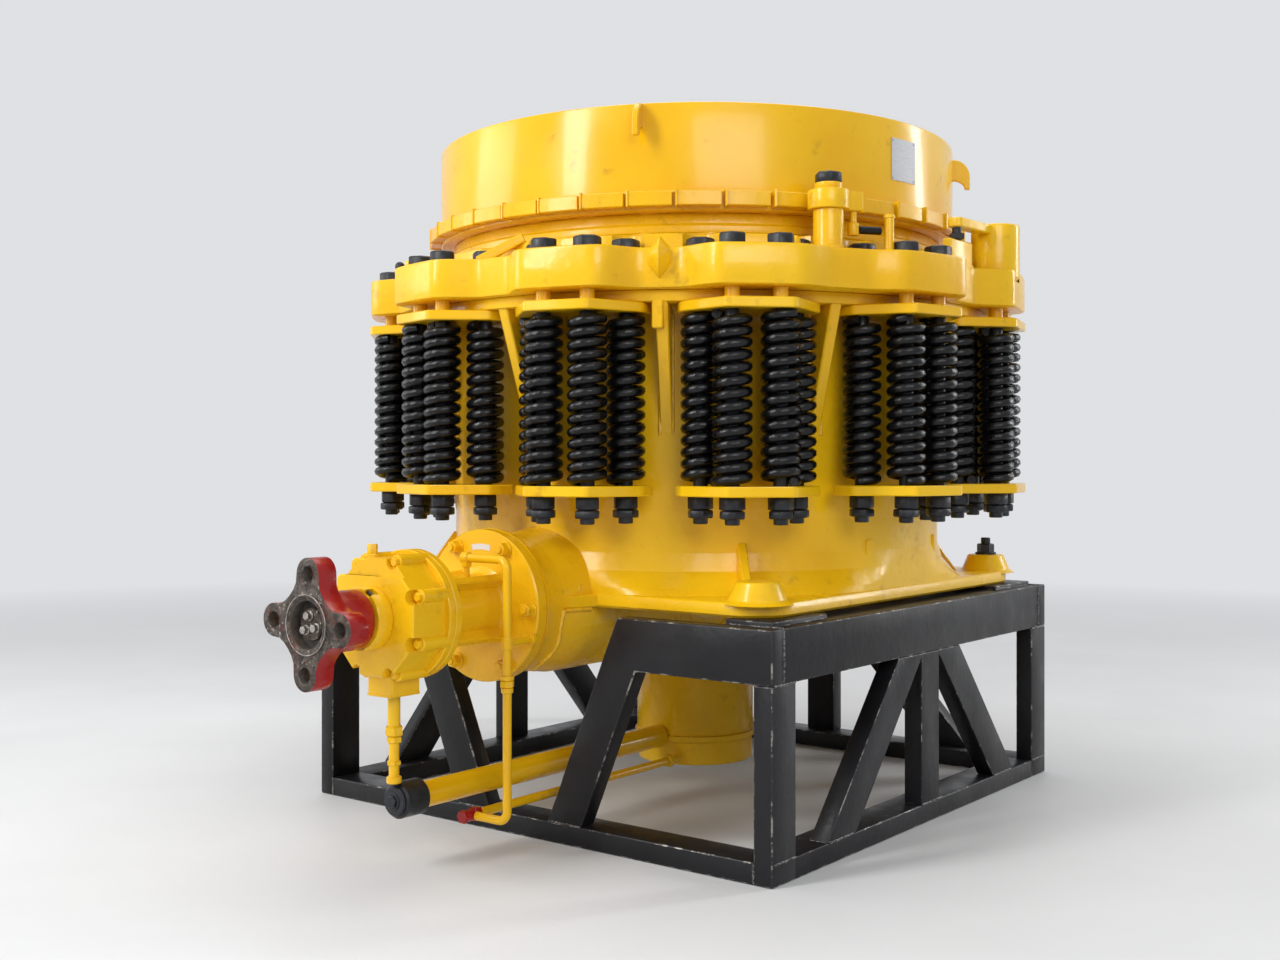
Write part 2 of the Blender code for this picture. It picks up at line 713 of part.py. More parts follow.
def frame_inside():
    """The room inside the shell, narrower below the waist."""
    low = SHAFT_Z - NOZZLE_RADIUS - SHELL_WALL
    profile = [
        (SHELL_INNER_RADIUS, FRAME_TOP + 1),
        (SHELL_INNER_RADIUS, GUSSET_FOOT - FLARE_HIGH),
        (SHELL_FOOT_INNER_RADIUS, SHELL_WAIST_Z),
        (SHELL_FOOT_INNER_RADIUS, low),
        (0, low),
        (0, FRAME_TOP + 1),
    ]
    return turned(profile)


def frame_flare_cutters():
    """Boxes outside the square base, which trim the round flare to it."""
    far = SHELL_RADIUS + TOP_FLANGE_REACH
    low, high = BASE_Z - FLARE_HIGH, FLANGE_TOP + 2 * FLARE_HIGH
    edge = FLANGE_HALF + BITE
    return [
        block((edge, -far, low), (far, far, high)),
        block((-far, -far, low), (-edge, far, high)),
        block((-far, edge, low), (far, far, high)),
    ]


def base_rib(angle):
    """A web from the flare down to the edge of the square base."""
    turn = math.radians(angle)
    edge = FLANGE_HALF / max(abs(math.cos(turn)), abs(math.sin(turn)))
    reach = min(BASE_RIB_REACH, edge - BASE_RIB_MARGIN)
    inner = SHELL_WAIST_RADIUS - SHELL_WALL / 2
    low, top = FLANGE_TOP - BITE, FLANGE_TOP + BASE_RIB_HIGH
    return radial_web(angle, inner, reach, SHELL_WAIST_RADIUS + BITE, low, top, BASE_RIB_THICK)


def top_gusset(angle):
    """A web under the top flange, between two spring packs."""
    inner = SHELL_RADIUS - SHELL_WALL / 2
    reach, top = TOP_FLANGE_RADIUS - BITE, TOP_FLANGE_LOW + BITE
    return radial_web(angle, inner, SHELL_RADIUS - BITE, reach, GUSSET_FOOT, top, GUSSET_THICK)


def anchor_boss(x, y):
    low = (x * ANCHOR_PLACE, y * ANCHOR_PLACE, FLANGE_TOP - BITE)
    high = (x * ANCHOR_PLACE, y * ANCHOR_PLACE, FLANGE_TOP + ANCHOR_HIGH)
    return rod(low, high, ANCHOR_FOOT_RADIUS, end_radius=ANCHOR_TOP_RADIUS)


def main_frame():
    """Shell, square base and the nozzle that the countershaft's housing is bolted to."""
    hole = circle(SHELL_FOOT_INNER_RADIUS - BITE, sides=ROUND_SIDES)
    base = plate([square_outline(FLANGE_HALF, FLANGE_CHAMFER), hole], BASE_Z, FLANGE_TOP)
    rim_back = NOZZLE_FACE + RIM_THICK
    start = SHELL_WALL - SHELL_FOOT_INNER_RADIUS
    nozzle = rod((0, start, SHAFT_Z), (0, rim_back - BITE, SHAFT_Z), NOZZLE_RADIUS, sides=INNER_SIDES)
    rim = rod((0, rim_back, SHAFT_Z), (0, NOZZLE_FACE, SHAFT_Z), NOZZLE_RADIUS + NOZZLE_RIM, sides=INNER_SIDES)
    webs = [base_rib(angle) for angle in BASE_RIB_ANGLES]
    webs += [top_gusset(angle) for angle in GUSSET_ANGLES]
    anchors = [anchor_boss(x, y) for x in (-1, 1) for y in (-1, 1)]
    shaft_room = rod((0, NOZZLE_FACE - 1, SHAFT_Z), (0, 0, SHAFT_Z), SHAFT_RADIUS + RUNNING_GAP)
    node(
        "main_frame",
        frame_shell(),
        "yellow",
        add=[base, nozzle, rim, together(webs), together(anchors)],
        cut=[*frame_flare_cutters(), frame_inside(), shaft_room],
    )


def frame_hub():
    """The socket and hub in the middle of the frame, its four arms and the countershaft's tunnel."""
    hub = turned(
        [
            (0, SOCKET_TOP),
            (SOCKET_RADIUS, SOCKET_TOP),
            (SOCKET_RADIUS, ARM_LOW),
            (HUB_RADIUS, ARM_LOW - HUB_CONE_HIGH),
            (HUB_RADIUS, HUB_BOTTOM),
            (0, HUB_BOTTOM),
        ],
        sides=INNER_SIDES,
    )
    beyond = SHELL_FOOT_INNER_RADIUS + SHELL_WALL
    half = ARM_WIDE / 2
    top = ARM_LOW + ARM_HIGH
    arms = [block((0, -half, ARM_LOW), (beyond, half, top), turn=angle) for angle in ARM_ANGLES]
    tunnel = rod((0, -HUB_RADIUS / 2, SHAFT_Z), (0, -beyond, SHAFT_Z), NOZZLE_RADIUS, sides=INNER_SIDES)
    wall = SHELL_FOOT_INNER_RADIUS - SEAT
    low, high = SHAFT_Z - NOZZLE_RADIUS - SHELL_WALL, top + SHELL_WALL
    outside_wall = turned([(beyond + 1, high), (beyond + 1, low), (wall, low), (wall, high)])
    room_end = SHAFT_INNER_END + SHELL_WALL
    shaft_room = rod((0, -beyond - 1, SHAFT_Z), (0, room_end, SHAFT_Z), SHAFT_RADIUS + RUNNING_GAP)
    node("frame_hub", hub, "yellow", add=[tunnel, together(arms)], cut=[outside_wall, shaft_room])


def hub_cap():
    seam = HUB_BOTTOM - SEAT
    band_low = seam - HUB_BAND_HIGH
    wall = HUB_RADIUS - HUB_CAP_INSET
    profile = [
        (0, seam),
        (HUB_RADIUS + HUB_BAND, seam),
        (HUB_RADIUS + HUB_BAND, band_low),
        (wall, band_low - HUB_BAND),
        (wall, HUB_BOTTOM - HUB_CAP_HIGH),
        (0, HUB_BOTTOM - HUB_CAP_HIGH),
    ]
    node("hub_oil_cap", turned(profile, sides=INNER_SIDES), "yellow")


def bolt_angles():
    """Angles of the inner bolts round the crushing axis, and their distance from it."""
    aside = math.degrees(math.atan2(INNER_BOLT_SPREAD, INNER_BOLT_RADIUS))
    angles = [angle + side * aside for angle in GROUP_ANGLES for side in (-1, 1)]
    return angles, math.hypot(INNER_BOLT_RADIUS, INNER_BOLT_SPREAD)


def collar_outline():
    """The ring's inner collar, scalloped round the heads of the inner bolts."""
    angles, distance = bolt_angles()
    square = COLLAR_OUT**2 + distance**2 - COLLAR_POCKET_RADIUS**2
    reach = math.degrees(math.acos(square / (2 * COLLAR_OUT * distance)))
    floor = distance - COLLAR_POCKET_RADIUS
    outline = []
    for angle in angles:
        outline.append(on_axis(angle - reach, COLLAR_OUT).xy)
        outline.append(on_axis(angle - reach / 2, floor + (COLLAR_OUT - floor) / 4).xy)
        outline.append(on_axis(angle + reach / 2, floor + (COLLAR_OUT - floor) / 4).xy)
        outline.append(on_axis(angle + reach, COLLAR_OUT).xy)
    return outline


def ring_lug(angle):
    """A lug in a valley of the ring: a round disc whose rim is sharpened to a ridge."""
    profile = [
        (0, LUG_HALF_WIDE),
        (LUG_SIDE_RADIUS, LUG_HALF_WIDE),
        (LUG_RADIUS, 0),
        (LUG_SIDE_RADIUS, -LUG_HALF_WIDE),
        (0, -LUG_HALF_WIDE),
    ]
    lug = turned(profile, sides=12)
    facing = Matrix.Rotation(math.radians(angle), 4, "Z") @ Matrix.Rotation(math.radians(90), 4, "X")
    lug.matrix_basis = Matrix.Translation(on_axis(angle, LUG_PLACE, LUG_Z)) @ facing
    return lug


def lobe_radius(angle):
    """Outer radius of the adjustment ring at an angle, with a lobe over each spring pack."""
    off = abs((angle - FIRST_GROUP + GROUP_STEP / 2) % GROUP_STEP - GROUP_STEP / 2)
    near_post = abs(angle - POST_ANGLE) < GROUP_STEP / 2
    valley = POST_VALLEY_OUT if near_post else VALLEY_OUT
    share = (off - LOBE_FLAT_HALF_ANGLE) / (VALLEY_HALF_ANGLE - LOBE_FLAT_HALF_ANGLE)
    share = min(max(share, 0), 1)
    smooth = share * share * (3 - 2 * share)
    return LOBE_OUT + (valley - LOBE_OUT) * smooth


def adjustment_ring():
    steps_per_group = 8
    count = SPRING_GROUPS * steps_per_group
    angles = [-180 + 360 * (step + 0.5) / count for step in range(count)]
    outline = [on_axis(angle, lobe_radius(angle)).xy for angle in angles]
    ring = plate([outline, circle(RING_BORE_RADIUS, sides=ROUND_SIDES)], RING_LOW, RING_TOP)
    bore = circle(COLLAR_IN, sides=ROUND_SIDES)
    collar = plate([collar_outline(), bore], RING_TOP - BITE, RING_TOP + COLLAR_HIGH)
    lugs = [ring_lug(angle) for angle in LUG_ANGLES]
    foot = on_axis(BAR_FOOT_ANGLE, VALLEY_OUT - BITE, RING_TOP - BITE)
    head = on_axis(BAR_HEAD_ANGLE, COLLAR_OUT - BITE, RING_TOP + BAR_HEAD_RISE)
    bar = rod(foot, head, BAR_RADIUS, sides=4, twist=45)
    bracket = block(
        (BRACKET_OUT - BRACKET_THICK, -BRACKET_HALF, RING_TOP - BITE),
        (BRACKET_OUT, BRACKET_HALF, RING_TOP + BRACKET_HIGH),
        turn=BRACKET_ANGLE,
    )
    seat = on_axis(CYLINDER_ANGLE, CYLINDER_PLACE, RING_TOP - CYLINDER_SUNK)
    pocket = rod(seat, seat + Vector((0, 0, CYLINDER_HIGH)), CYLINDER_RADIUS + SEAT, sides=INNER_SIDES)
    node("adjustment_ring", ring, "yellow", add=[collar, *lugs, bar, bracket], cut=[pocket])


def group_point(angle, radius, aside, z):
    """A point of a spring pack: radius along the pack's middle line and aside across it."""
    return Matrix.Rotation(math.radians(angle), 3, "Z") @ Vector((radius, aside, z))


def pack_bolts():
    return (
        (OUTER_BOLT_RADIUS, -OUTER_BOLT_SPREAD),
        (OUTER_BOLT_RADIUS, OUTER_BOLT_SPREAD),
        (INNER_BOLT_RADIUS, -INNER_BOLT_SPREAD),
        (INNER_BOLT_RADIUS, INNER_BOLT_SPREAD),
    )


def pack_outline():
    return [
        (PLATE_IN, -PLATE_IN_HALF),
        (PLATE_SHOULDER, -PLATE_IN_HALF),
        (PLATE_OUT, -PLATE_OUT_HALF),
        (PLATE_OUT, PLATE_OUT_HALF),
        (PLATE_SHOULDER, PLATE_IN_HALF),
        (PLATE_IN, PLATE_IN_HALF),
    ]


def spring_pack(number, angle):
    """Two plates with four springs between them, the sleeves above and the nuts below."""
    low = LOWER_PLATE_TOP - LOWER_PLATE_THICK
    upper_low = UPPER_PLATE_TOP - UPPER_PLATE_THICK
    upper = plate([pack_outline()], upper_low, UPPER_PLATE_TOP, turn=angle)
    pieces = [plate([pack_outline()], low, LOWER_PLATE_TOP, turn=angle)]
    for radius, aside in pack_bolts():
        foot = group_point(angle, radius, aside, 0)
        up = Vector((0, 0, 1))

        def column(start, end, wide, sides):
            return rod(foot + up * start, foot + up * end, wide, sides=sides)

        pieces.append(column(LOWER_PLATE_TOP - BITE, upper_low + BITE, SPRING_RADIUS, SPRING_SIDES))
        pieces.append(column(low - NUT_STACK_HIGH, low + BITE, NUT_RADIUS, 6))
        if radius == OUTER_BOLT_RADIUS:
            pieces.append(column(UPPER_PLATE_TOP - BITE, RING_LOW - SEAT, SLEEVE_RADIUS, 6))
    node(f"spring_pack_{number:02d}", upper, "black", add=pieces)


def bowl():
    liner_seat = LINER_TOP - LINER_LIP_THICK - SEAT
    lip = LINER_LIP_RADIUS + LINER_GAP
    foot = RING_TOP + SEAT
    thread_end = RING_LOW - BOWL_THREAD_HIGH
    profile = [
        (BOWL_NECK_RADIUS, BOWL_TOP),
        (BOWL_NECK_RADIUS, BOWL_TOP - BOWL_BAND_DROP),
        (BOWL_SKIRT_RADIUS, BOWL_TOP - BOWL_BAND_DROP - BITE),
        (BOWL_SKIRT_RADIUS, foot),
        (THREAD_RADIUS, foot),
        (THREAD_RADIUS, thread_end),
        (THREAD_RADIUS - BOWL_STEP, thread_end - BOWL_STEP),
        (THREAD_RADIUS - BOWL_STEP, BOWL_BOTTOM),
        (bowl_inner_radius(BOWL_BOTTOM), BOWL_BOTTOM),
        (bowl_inner_radius(liner_seat), liner_seat),
        (lip, liner_seat),
        (lip, BOWL_TOP),
    ]
    node("bowl", turned(profile, sides=INNER_SIDES), "yellow")


def liner_foot_z():
    return MANTLE_FOOT + MANTLE_RISE


def liner_inner_radius(z):
    """Inside of the bowl liner: close to the mantle at the foot and wide open at the top."""
    foot_radius = MANTLE_RADIUS - LINER_GAP
    share = (z - liner_foot_z()) / (LINER_TOP - liner_foot_z())
    return foot_radius + (LINER_THROAT_RADIUS - foot_radius) * share


def liner_outer_radius(z):
    share = (z - MANTLE_FOOT) / (LINER_TOP - MANTLE_FOOT)
    return liner_inner_radius(z) + LINER_FOOT_THICK + (LINER_TOP_THICK - LINER_FOOT_THICK) * share


def bowl_inner_radius(z):
    return liner_outer_radius(z) + LINER_GAP


def bowl_liner():
    foot = liner_foot_z()
    lip_low = LINER_TOP - LINER_LIP_THICK
    profile = [
        (LINER_LIP_RADIUS, LINER_TOP),
        (LINER_LIP_RADIUS, lip_low),
        (liner_outer_radius(lip_low), lip_low),
        (liner_outer_radius(BOWL_BOTTOM), BOWL_BOTTOM),
        (liner_outer_radius(foot), foot),
        (liner_inner_radius(foot), foot),
        (liner_inner_radius(LINER_TOP), LINER_TOP),
    ]
    node("bowl_liner", turned(profile, sides=INNER_SIDES), "steel")


def mantle():
    under = SOCKET_TOP + SEAT
    edge = MANTLE_RISE / 2
    profile = [
        (0, MANTLE_TOP),
        (MANTLE_TOP_RADIUS, MANTLE_TOP),
        (MANTLE_TOP_RADIUS + MANTLE_RISE, MANTLE_TOP - MANTLE_RISE),
        (MANTLE_WAIST_RADIUS, MANTLE_FOOT + MANTLE_WAIST_HIGH),
        (MANTLE_RADIUS - edge, MANTLE_FOOT + edge),
        (MANTLE_RADIUS, MANTLE_FOOT),
        (MANTLE_RADIUS - 2 * edge, MANTLE_FOOT - edge),
        (SOCKET_RADIUS + SHELL_WALL, under),
        (0, under),
    ]
    node("mantle", turned(profile, sides=INNER_SIDES), "steel")


def feed_plate():
    low = MANTLE_TOP + SEAT
    top = low + FEED_PLATE_THICK
    profile = [
        (0, top + FEED_PLATE_THICK),
        (FEED_PLATE_CROWN, top + FEED_PLATE_THICK),
        (FEED_PLATE_CROWN + FEED_PLATE_THICK / 2, top),
        (FEED_PLATE_RADIUS, top),
        (FEED_PLATE_RADIUS, low + FEED_PLATE_THICK / 3),
        (MANTLE_TOP_RADIUS - FEED_PLATE_THICK, low),
        (0, low),
    ]
    node("feed_plate", turned(profile, sides=SMALL_SIDES), "steel")


def hook(angle):
    """A lifting hook: a quarter-round plate whose tip turns down, standing off the cap's wall."""
    root = CAP_RADIUS - CAP_WALL / 2
    reach = CAP_RADIUS + HOOK_REACH
    low = HOOK_TOP - HOOK_HIGH
    outer = []
    inner = []
    for step in range(6):
        turn = math.radians(90 - 18 * step)
        drop = HOOK_HIGH * 0.8 * (1 - math.sin(turn))
        outer.append((CAP_RADIUS + HOOK_REACH * math.cos(turn), HOOK_TOP - drop))
    for step in range(5):
        turn = math.radians(22 * step)
        rise = HOOK_HIGH * 0.4 * math.sin(turn)
        inner.append((CAP_RADIUS + HOOK_REACH * 0.55 * math.cos(turn), low + rise))
    outline = [(root, HOOK_TOP), *outer, (reach, low), *inner, (root, low + HOOK_HIGH * 0.3)]
    return plate([outline], -HOOK_THICK / 2, HOOK_THICK / 2, FACING_FRONT, turn=angle)


def tooth_ring():
    """Outline of the ratchet teeth round the foot of the cap."""
    outline = []
    step = 360 / TOOTH_COUNT
    root = CAP_RADIUS + BITE / 2
    for index in range(TOOTH_COUNT):
        start = FIRST_TOOTH_ANGLE + index * step
        stop = start + step - TOOTH_GAP_ANGLE
        outline.append(on_axis(start, TOOTH_START_RADIUS).xy)
        outline.append(on_axis(stop, TOOTH_END_RADIUS).xy)
        outline.append(on_axis(stop, root).xy)
        outline.append(on_axis(start + step, root).xy)
    return plate([outline, circle(CAP_RADIUS - CAP_WALL / 2, sides=ROUND_SIDES)], TOOTH_LOW, TOOTH_HIGH)


def adjustment_cap():
    low = BOWL_TOP + SEAT
    inner = CAP_RADIUS - CAP_WALL
    profile = [
        (CAP_RADIUS, CAP_TOP),
        (CAP_RADIUS, low),
        (CAP_FLOOR_RADIUS, low),
        (CAP_FLOOR_RADIUS, low + CAP_FLOOR_THICK),
        (inner, low + CAP_FLOOR_THICK),
        (inner, HOPPER_LEDGE_Z - 2 * HOPPER_LEDGE_THICK),
        (HOPPER_LEDGE_IN, HOPPER_LEDGE_Z - HOPPER_LEDGE_THICK),
        (HOPPER_LEDGE_IN, HOPPER_LEDGE_Z),
        (inner, HOPPER_LEDGE_Z),
        (inner, CAP_TOP),
    ]
    hooks = [hook(angle) for angle in HOOK_ANGLES]
    node("adjustment_cap", turned(profile), "yellow", add=[together([tooth_ring(), *hooks])])


def feed_hopper():
    low = HOPPER_LEDGE_Z + SEAT
    rim = CAP_RADIUS - CAP_WALL - SEAT
    neck = HOPPER_LEDGE_IN - BITE
    profile = [
        (rim, low + HOPPER_THICK),
        (rim, low),
        (neck, low),
        (HOPPER_MOUTH_RADIUS + HOPPER_THICK, HOPPER_MOUTH_Z),
        (HOPPER_MOUTH_RADIUS, HOPPER_MOUTH_Z),
        (neck - HOPPER_THICK, low + HOPPER_THICK),
    ]
    node("feed_hopper", turned(profile), "yellow")


def locking_post():
    foot = on_axis(POST_ANGLE, POST_PLACE)
    up = Vector((0, 0, 1))
    low = RING_TOP + SEAT
    post = rod(foot + up * low, foot + up * PAWL_LOW, POST_RADIUS, sides=24)
    neck = rod(foot + up * (PAWL_LOW - BITE), foot + up * POST_TOP, POST_NECK_RADIUS, sides=24)
    head = rod(foot + up * (POST_TOP - BITE), foot + up * POST_HEAD_TOP, POST_HEAD_RADIUS, sides=6)
    node("locking_post", post, "yellow", add=[neck, head])


def locking_pawl():
    """A collar on the post with an arm, its pin and the rod that the pin holds."""
    low = PAWL_LOW + SEAT
    rings = [circle(radius, sides=24) for radius in (PAWL_COLLAR_RADIUS, PAWL_BORE_RADIUS)]
    collar = plate(rings, low, PAWL_HIGH, parent=PAWL_LINE)
    half = PAWL_ARM_WIDE / 2
    arm = block((-half, PAWL_BORE_RADIUS + BITE, low), (half, PAWL_ARM_LONG, PAWL_HIGH), parent=PAWL_LINE)
    pin_y = PAWL_ARM_LONG - half
    eye_low = PAWL_PIN_LOW - PAWL_EYE_HIGH
    pin = rod((0, pin_y, PAWL_PIN_LOW - BITE), (0, pin_y, low + BITE), PAWL_PIN_RADIUS, PAWL_LINE, sides=12)
    eye = rod((0, pin_y, eye_low), (0, pin_y, PAWL_PIN_LOW), PAWL_EYE_RADIUS, PAWL_LINE, 12)
    node("locking_pawl", collar, "yellow", add=[arm, pin, eye])
    rod_z = PAWL_PIN_LOW - PAWL_EYE_HIGH / 2
    start = pin_y + PAWL_EYE_RADIUS + SEAT
    end = stop_distance() - STOP_RADIUS - PAWL_ROD_GAP
    held_rod = rod((0, start, rod_z), (0, end, rod_z), PAWL_ROD_RADIUS, PAWL_LINE, sides=12)
    node("pawl_rod", held_rod, "black")


def stop_distance():
    return (on_axis(STOP_ANGLE, STOP_PLACE) - on_axis(POST_ANGLE, POST_PLACE)).length


def stop_post():
    foot = on_axis(STOP_ANGLE, STOP_PLACE)
    up = Vector((0, 0, 1))
    post = rod(foot + up * (RING_TOP + SEAT), foot + up * STOP_TOP, STOP_RADIUS, sides=12)
    node("stop_post", post, "yellow")


def clamping_cylinder():
    """A barrel sunk into the ring's edge, with an arm at its top that ends over the ring's bracket."""
    foot = RING_TOP - CYLINDER_SUNK + SEAT
    top = RING_TOP + CYLINDER_HIGH
    profile = [
        (0, top),
        (CYLINDER_RADIUS, top),
        (CYLINDER_RADIUS, foot + CYLINDER_EDGE),
        (CYLINDER_RADIUS - CYLINDER_EDGE, foot),
        (0, foot),
    ]
    barrel = turned(profile, sides=INNER_SIDES)
    place = on_axis(CYLINDER_ANGLE, CYLINDER_PLACE)
    barrel.matrix_basis = Matrix.Translation(place)
    along = on_axis(CLAMP_ARM_ANGLE, CLAMP_ARM_PLACE) - place
    half = CLAMP_ARM_WIDE / 2
    high = top - CLAMP_ARM_DROP
    arm = block((0, -half, high - CLAMP_ARM_THICK), (along.length + half, half, high))
    arm.matrix_basis = Matrix.Translation(place) @ Matrix.Rotation(math.atan2(along.y, along.x), 4, "Z")
    node("clamping_cylinder", barrel, "yellow", add=[arm])


def countershaft_housing():
    """Bolted disc, ribbed neck and back rim in one casting, along the shaft's line."""
    face = NOZZLE_FACE - SEAT
    disc = rod((0, face, SHAFT_Z), (0, face - DISC_THICK, SHAFT_Z), DISC_RADIUS, sides=INNER_SIDES)
    neck = rod((0, face - BITE, SHAFT_Z), (0, NECK_END + BITE, SHAFT_Z), NECK_RADIUS, sides=24)
    back = rod((0, NECK_END + BACK_RIM_THICK, SHAFT_Z), (0, NECK_END, SHAFT_Z), BACK_RIM_RADIUS, sides=INNER_SIDES)
    ribs = []
    for angle in (45, -45):
        rib = block(
            (-NECK_RIB_REACH, NECK_END + BITE, -NECK_RIB_THICK / 2),
            (NECK_RIB_REACH, face - BITE, NECK_RIB_THICK / 2),
        )
        rib.matrix_basis = Matrix.Translation((0, 0, SHAFT_Z)) @ Matrix.Rotation(math.radians(angle), 4, "Y")
        ribs.append(rib)
    bore = rod((0, face + 1, SHAFT_Z), (0, NECK_END - 1, SHAFT_Z), BORE_RADIUS, sides=SHAFT_SIDES)
    node("countershaft_housing", disc, "yellow", add=[neck, back, *ribs], cut=[bore])


def housing_point(angle, y):
    """A point of the end housing's bolt circle, at an angle round the shaft."""
    turn = math.radians(angle)
    reach = END_BOSS_PITCH_RADIUS
    return (reach * math.cos(turn), y, SHAFT_Z + reach * math.sin(turn))


def end_housing():
    """Octagonal bearing housing with bolt ribs down its corners, a filler boss and an oil sump."""
    start = NECK_END - SEAT
    corner = END_HALF / math.cos(math.pi / 8)
    body = rod((0, start - BITE, SHAFT_Z), (0, END_FACE, SHAFT_Z), corner, sides=8, twist=22.5)
    rim = rod((0, start, SHAFT_Z), (0, start - BACK_RIM_THICK, SHAFT_Z), BACK_RIM_RADIUS, sides=INNER_SIDES)
    set_back = END_FACE + END_STEP_DEEP
    shoulder = block((-END_CORNER_REACH, END_FACE, SHAFT_Z), (0, END_FACE + FILLER_LONG, END_STEP_Z))
    step = block((-2 * corner, END_FACE - 1, END_STEP_Z), (2 * corner, set_back, SHAFT_Z + 2 * corner))
    spot_faces = []
    bosses = []
    for angle in EIGHTHS:
        spot_faces.append(
            rod(
                housing_point(angle, END_FACE - 1),
                housing_point(angle, END_FACE + END_BOSS_SETBACK),
                END_SPOT_RADIUS,
                sides=10,
            )
        )
        bosses.append(
            rod(
                housing_point(angle, start - BITE),
                housing_point(angle, END_FACE + END_BOSS_SETBACK / 2),
                END_BOSS_RADIUS,
                sides=10,
            )
        )
    filler = block((FILLER_LEFT, set_back, SHAFT_Z), (FILLER_RIGHT, set_back + FILLER_LONG, FILLER_TOP))
    plug_y = set_back + FILLER_LONG / 3

    def plug(top, radius, sides):
        low = (FILLER_PLUG_X, plug_y, FILLER_TOP - BITE)
        return rod(low, (FILLER_PLUG_X, plug_y, top), radius, sides=sides)

    plugs = [
        plug(FILLER_TOP + FILLER_SEAT_HIGH, FILLER_SEAT_RADIUS, 16),
        plug(FILLER_TOP + FILLER_PLUG_HIGH, FILLER_PLUG_RADIUS, 6),
    ]
    half, front = SUMP_WIDE / 2, END_FACE + SUMP_SETBACK
    sump_top = SHAFT_Z - END_HALF + BITE
    sump = block((-half, front, SUMP_BOTTOM), (half, front + SUMP_LONG, sump_top))
    bore = rod((0, start + 1, SHAFT_Z), (0, END_FACE - 1, SHAFT_Z), BORE_RADIUS, sides=SHAFT_SIDES)
    node(
        "end_housing",
        body,
        "yellow",
        add=[rim, shoulder, filler, *plugs, sump, *bosses],
        cut=[step, together(spot_faces), bore],
    )


def seal_collar():
    start = END_FACE - SEAT
    ring = rod((0, start, SHAFT_Z), (0, start - COLLAR_THICK, SHAFT_Z), COLLAR_RADIUS, sides=24)
    bore = rod((0, start + 1, SHAFT_Z), (0, start - 1, SHAFT_Z), BORE_RADIUS, sides=SHAFT_SIDES)
    node("seal_collar", ring, "yellow", cut=[bore])


def coupling_outline():
    """Four round lobes joined by hollow corners."""
    outline = []
    for quarter in range(4):
        turn = Matrix.Rotation(math.radians(90 * quarter), 2)
        middle = Vector((LOBE_REACH - LOBE_RADIUS, 0))
        for step in range(6):
            bend = math.radians(36 * step - 90)
            outline.append(turn @ (middle + LOBE_RADIUS * Vector((math.cos(bend), math.sin(bend)))))
        for angle in (30, 45, 60):
            bend = math.radians(angle)
            outline.append(turn @ (LOBE_WEB_RADIUS * Vector((math.cos(bend), math.sin(bend)))))
    return outline


def countershaft():
    outer_end = COUPLING_FACE + COUPLING_BORE_DEEP + SEAT
    shaft = rod((0, SHAFT_INNER_END, 0), (0, outer_end, 0), SHAFT_RADIUS, SHAFT_LINE, sides=SHAFT_SIDES)
    node("countershaft", shaft, "steel")


def drive_coupling():
    """A four-lobed coupling half with its hub, a ring round its mouth and a bore for the shaft."""
    ring_face = COUPLING_FACE
    face = ring_face + COUPLING_RING_PROUD
    back = face + COUPLING_THICK
    hole_places = [(LOBE_HOLE_PITCH_RADIUS, 0), (-LOBE_HOLE_PITCH_RADIUS, 0)]
    hole_places += [(0, LOBE_HOLE_PITCH_RADIUS), (0, -LOBE_HOLE_PITCH_RADIUS)]
    holes = [circle(LOBE_HOLE_RADIUS, place, sides=10) for place in hole_places]
    lobes = plate([coupling_outline(), *holes], -back, -face, FACING_FRONT, SHAFT_LINE)
    ring = rod((0, ring_face, 0), (0, face + BITE, 0), COUPLING_RING_RADIUS, SHAFT_LINE, sides=24)
    hub_end = END_FACE - SEAT - COLLAR_THICK - COUPLING_HUB_GAP
    hub = rod((0, back - BITE, 0), (0, hub_end, 0), COUPLING_HUB_RADIUS, SHAFT_LINE, sides=24)
    mouth_end = ring_face + COUPLING_BORE_DEEP
    mouth = rod((0, ring_face - 1, 0), (0, mouth_end, 0), COUPLING_MOUTH_RADIUS, SHAFT_LINE, 24)
    bore = rod((0, ring_face, 0), (0, back + 1, 0), SHAFT_RADIUS + SEAT, SHAFT_LINE, sides=SHAFT_SIDES)
    node("drive_coupling", lobes, "red", add=[ring, hub], cut=[mouth, bore])


def drain_line():
    """Return pipe to the hub, its end cap and the pipe down from the sump."""
    front, back = ELBOW_Y - ELBOW_HALF, ELBOW_Y + ELBOW_HALF
    elbow = rod((0, front, RETURN_PIPE_Z), (0, back, RETURN_PIPE_Z), ELBOW_RADIUS, sides=16)
    node("drain_elbow", elbow, "black")
    hub_side = -HUB_RADIUS - HUB_BAND - SEAT
    start, end = (0, back + SEAT, RETURN_PIPE_Z), (0, hub_side, RETURN_PIPE_Z)
    node("return_pipe", rod(start, end, RETURN_PIPE_RADIUS, sides=16), "yellow")
    foot = RETURN_PIPE_Z + ELBOW_RADIUS + SEAT
    drain = rod((0, DRAIN_PIPE_Y, foot), (0, DRAIN_PIPE_Y, SUMP_BOTTOM - SEAT), DRAIN_PIPE_RADIUS, sides=12)
    low, high = DRAIN_UNION_Z - UNION_HALF, DRAIN_UNION_Z + UNION_HALF
    union_nut = rod((0, DRAIN_PIPE_Y, low), (0, DRAIN_PIPE_Y, high), DRAIN_PIPE_RADIUS + BITE, sides=6)
    node("drain_pipe", drain, "yellow", add=[union_nut])


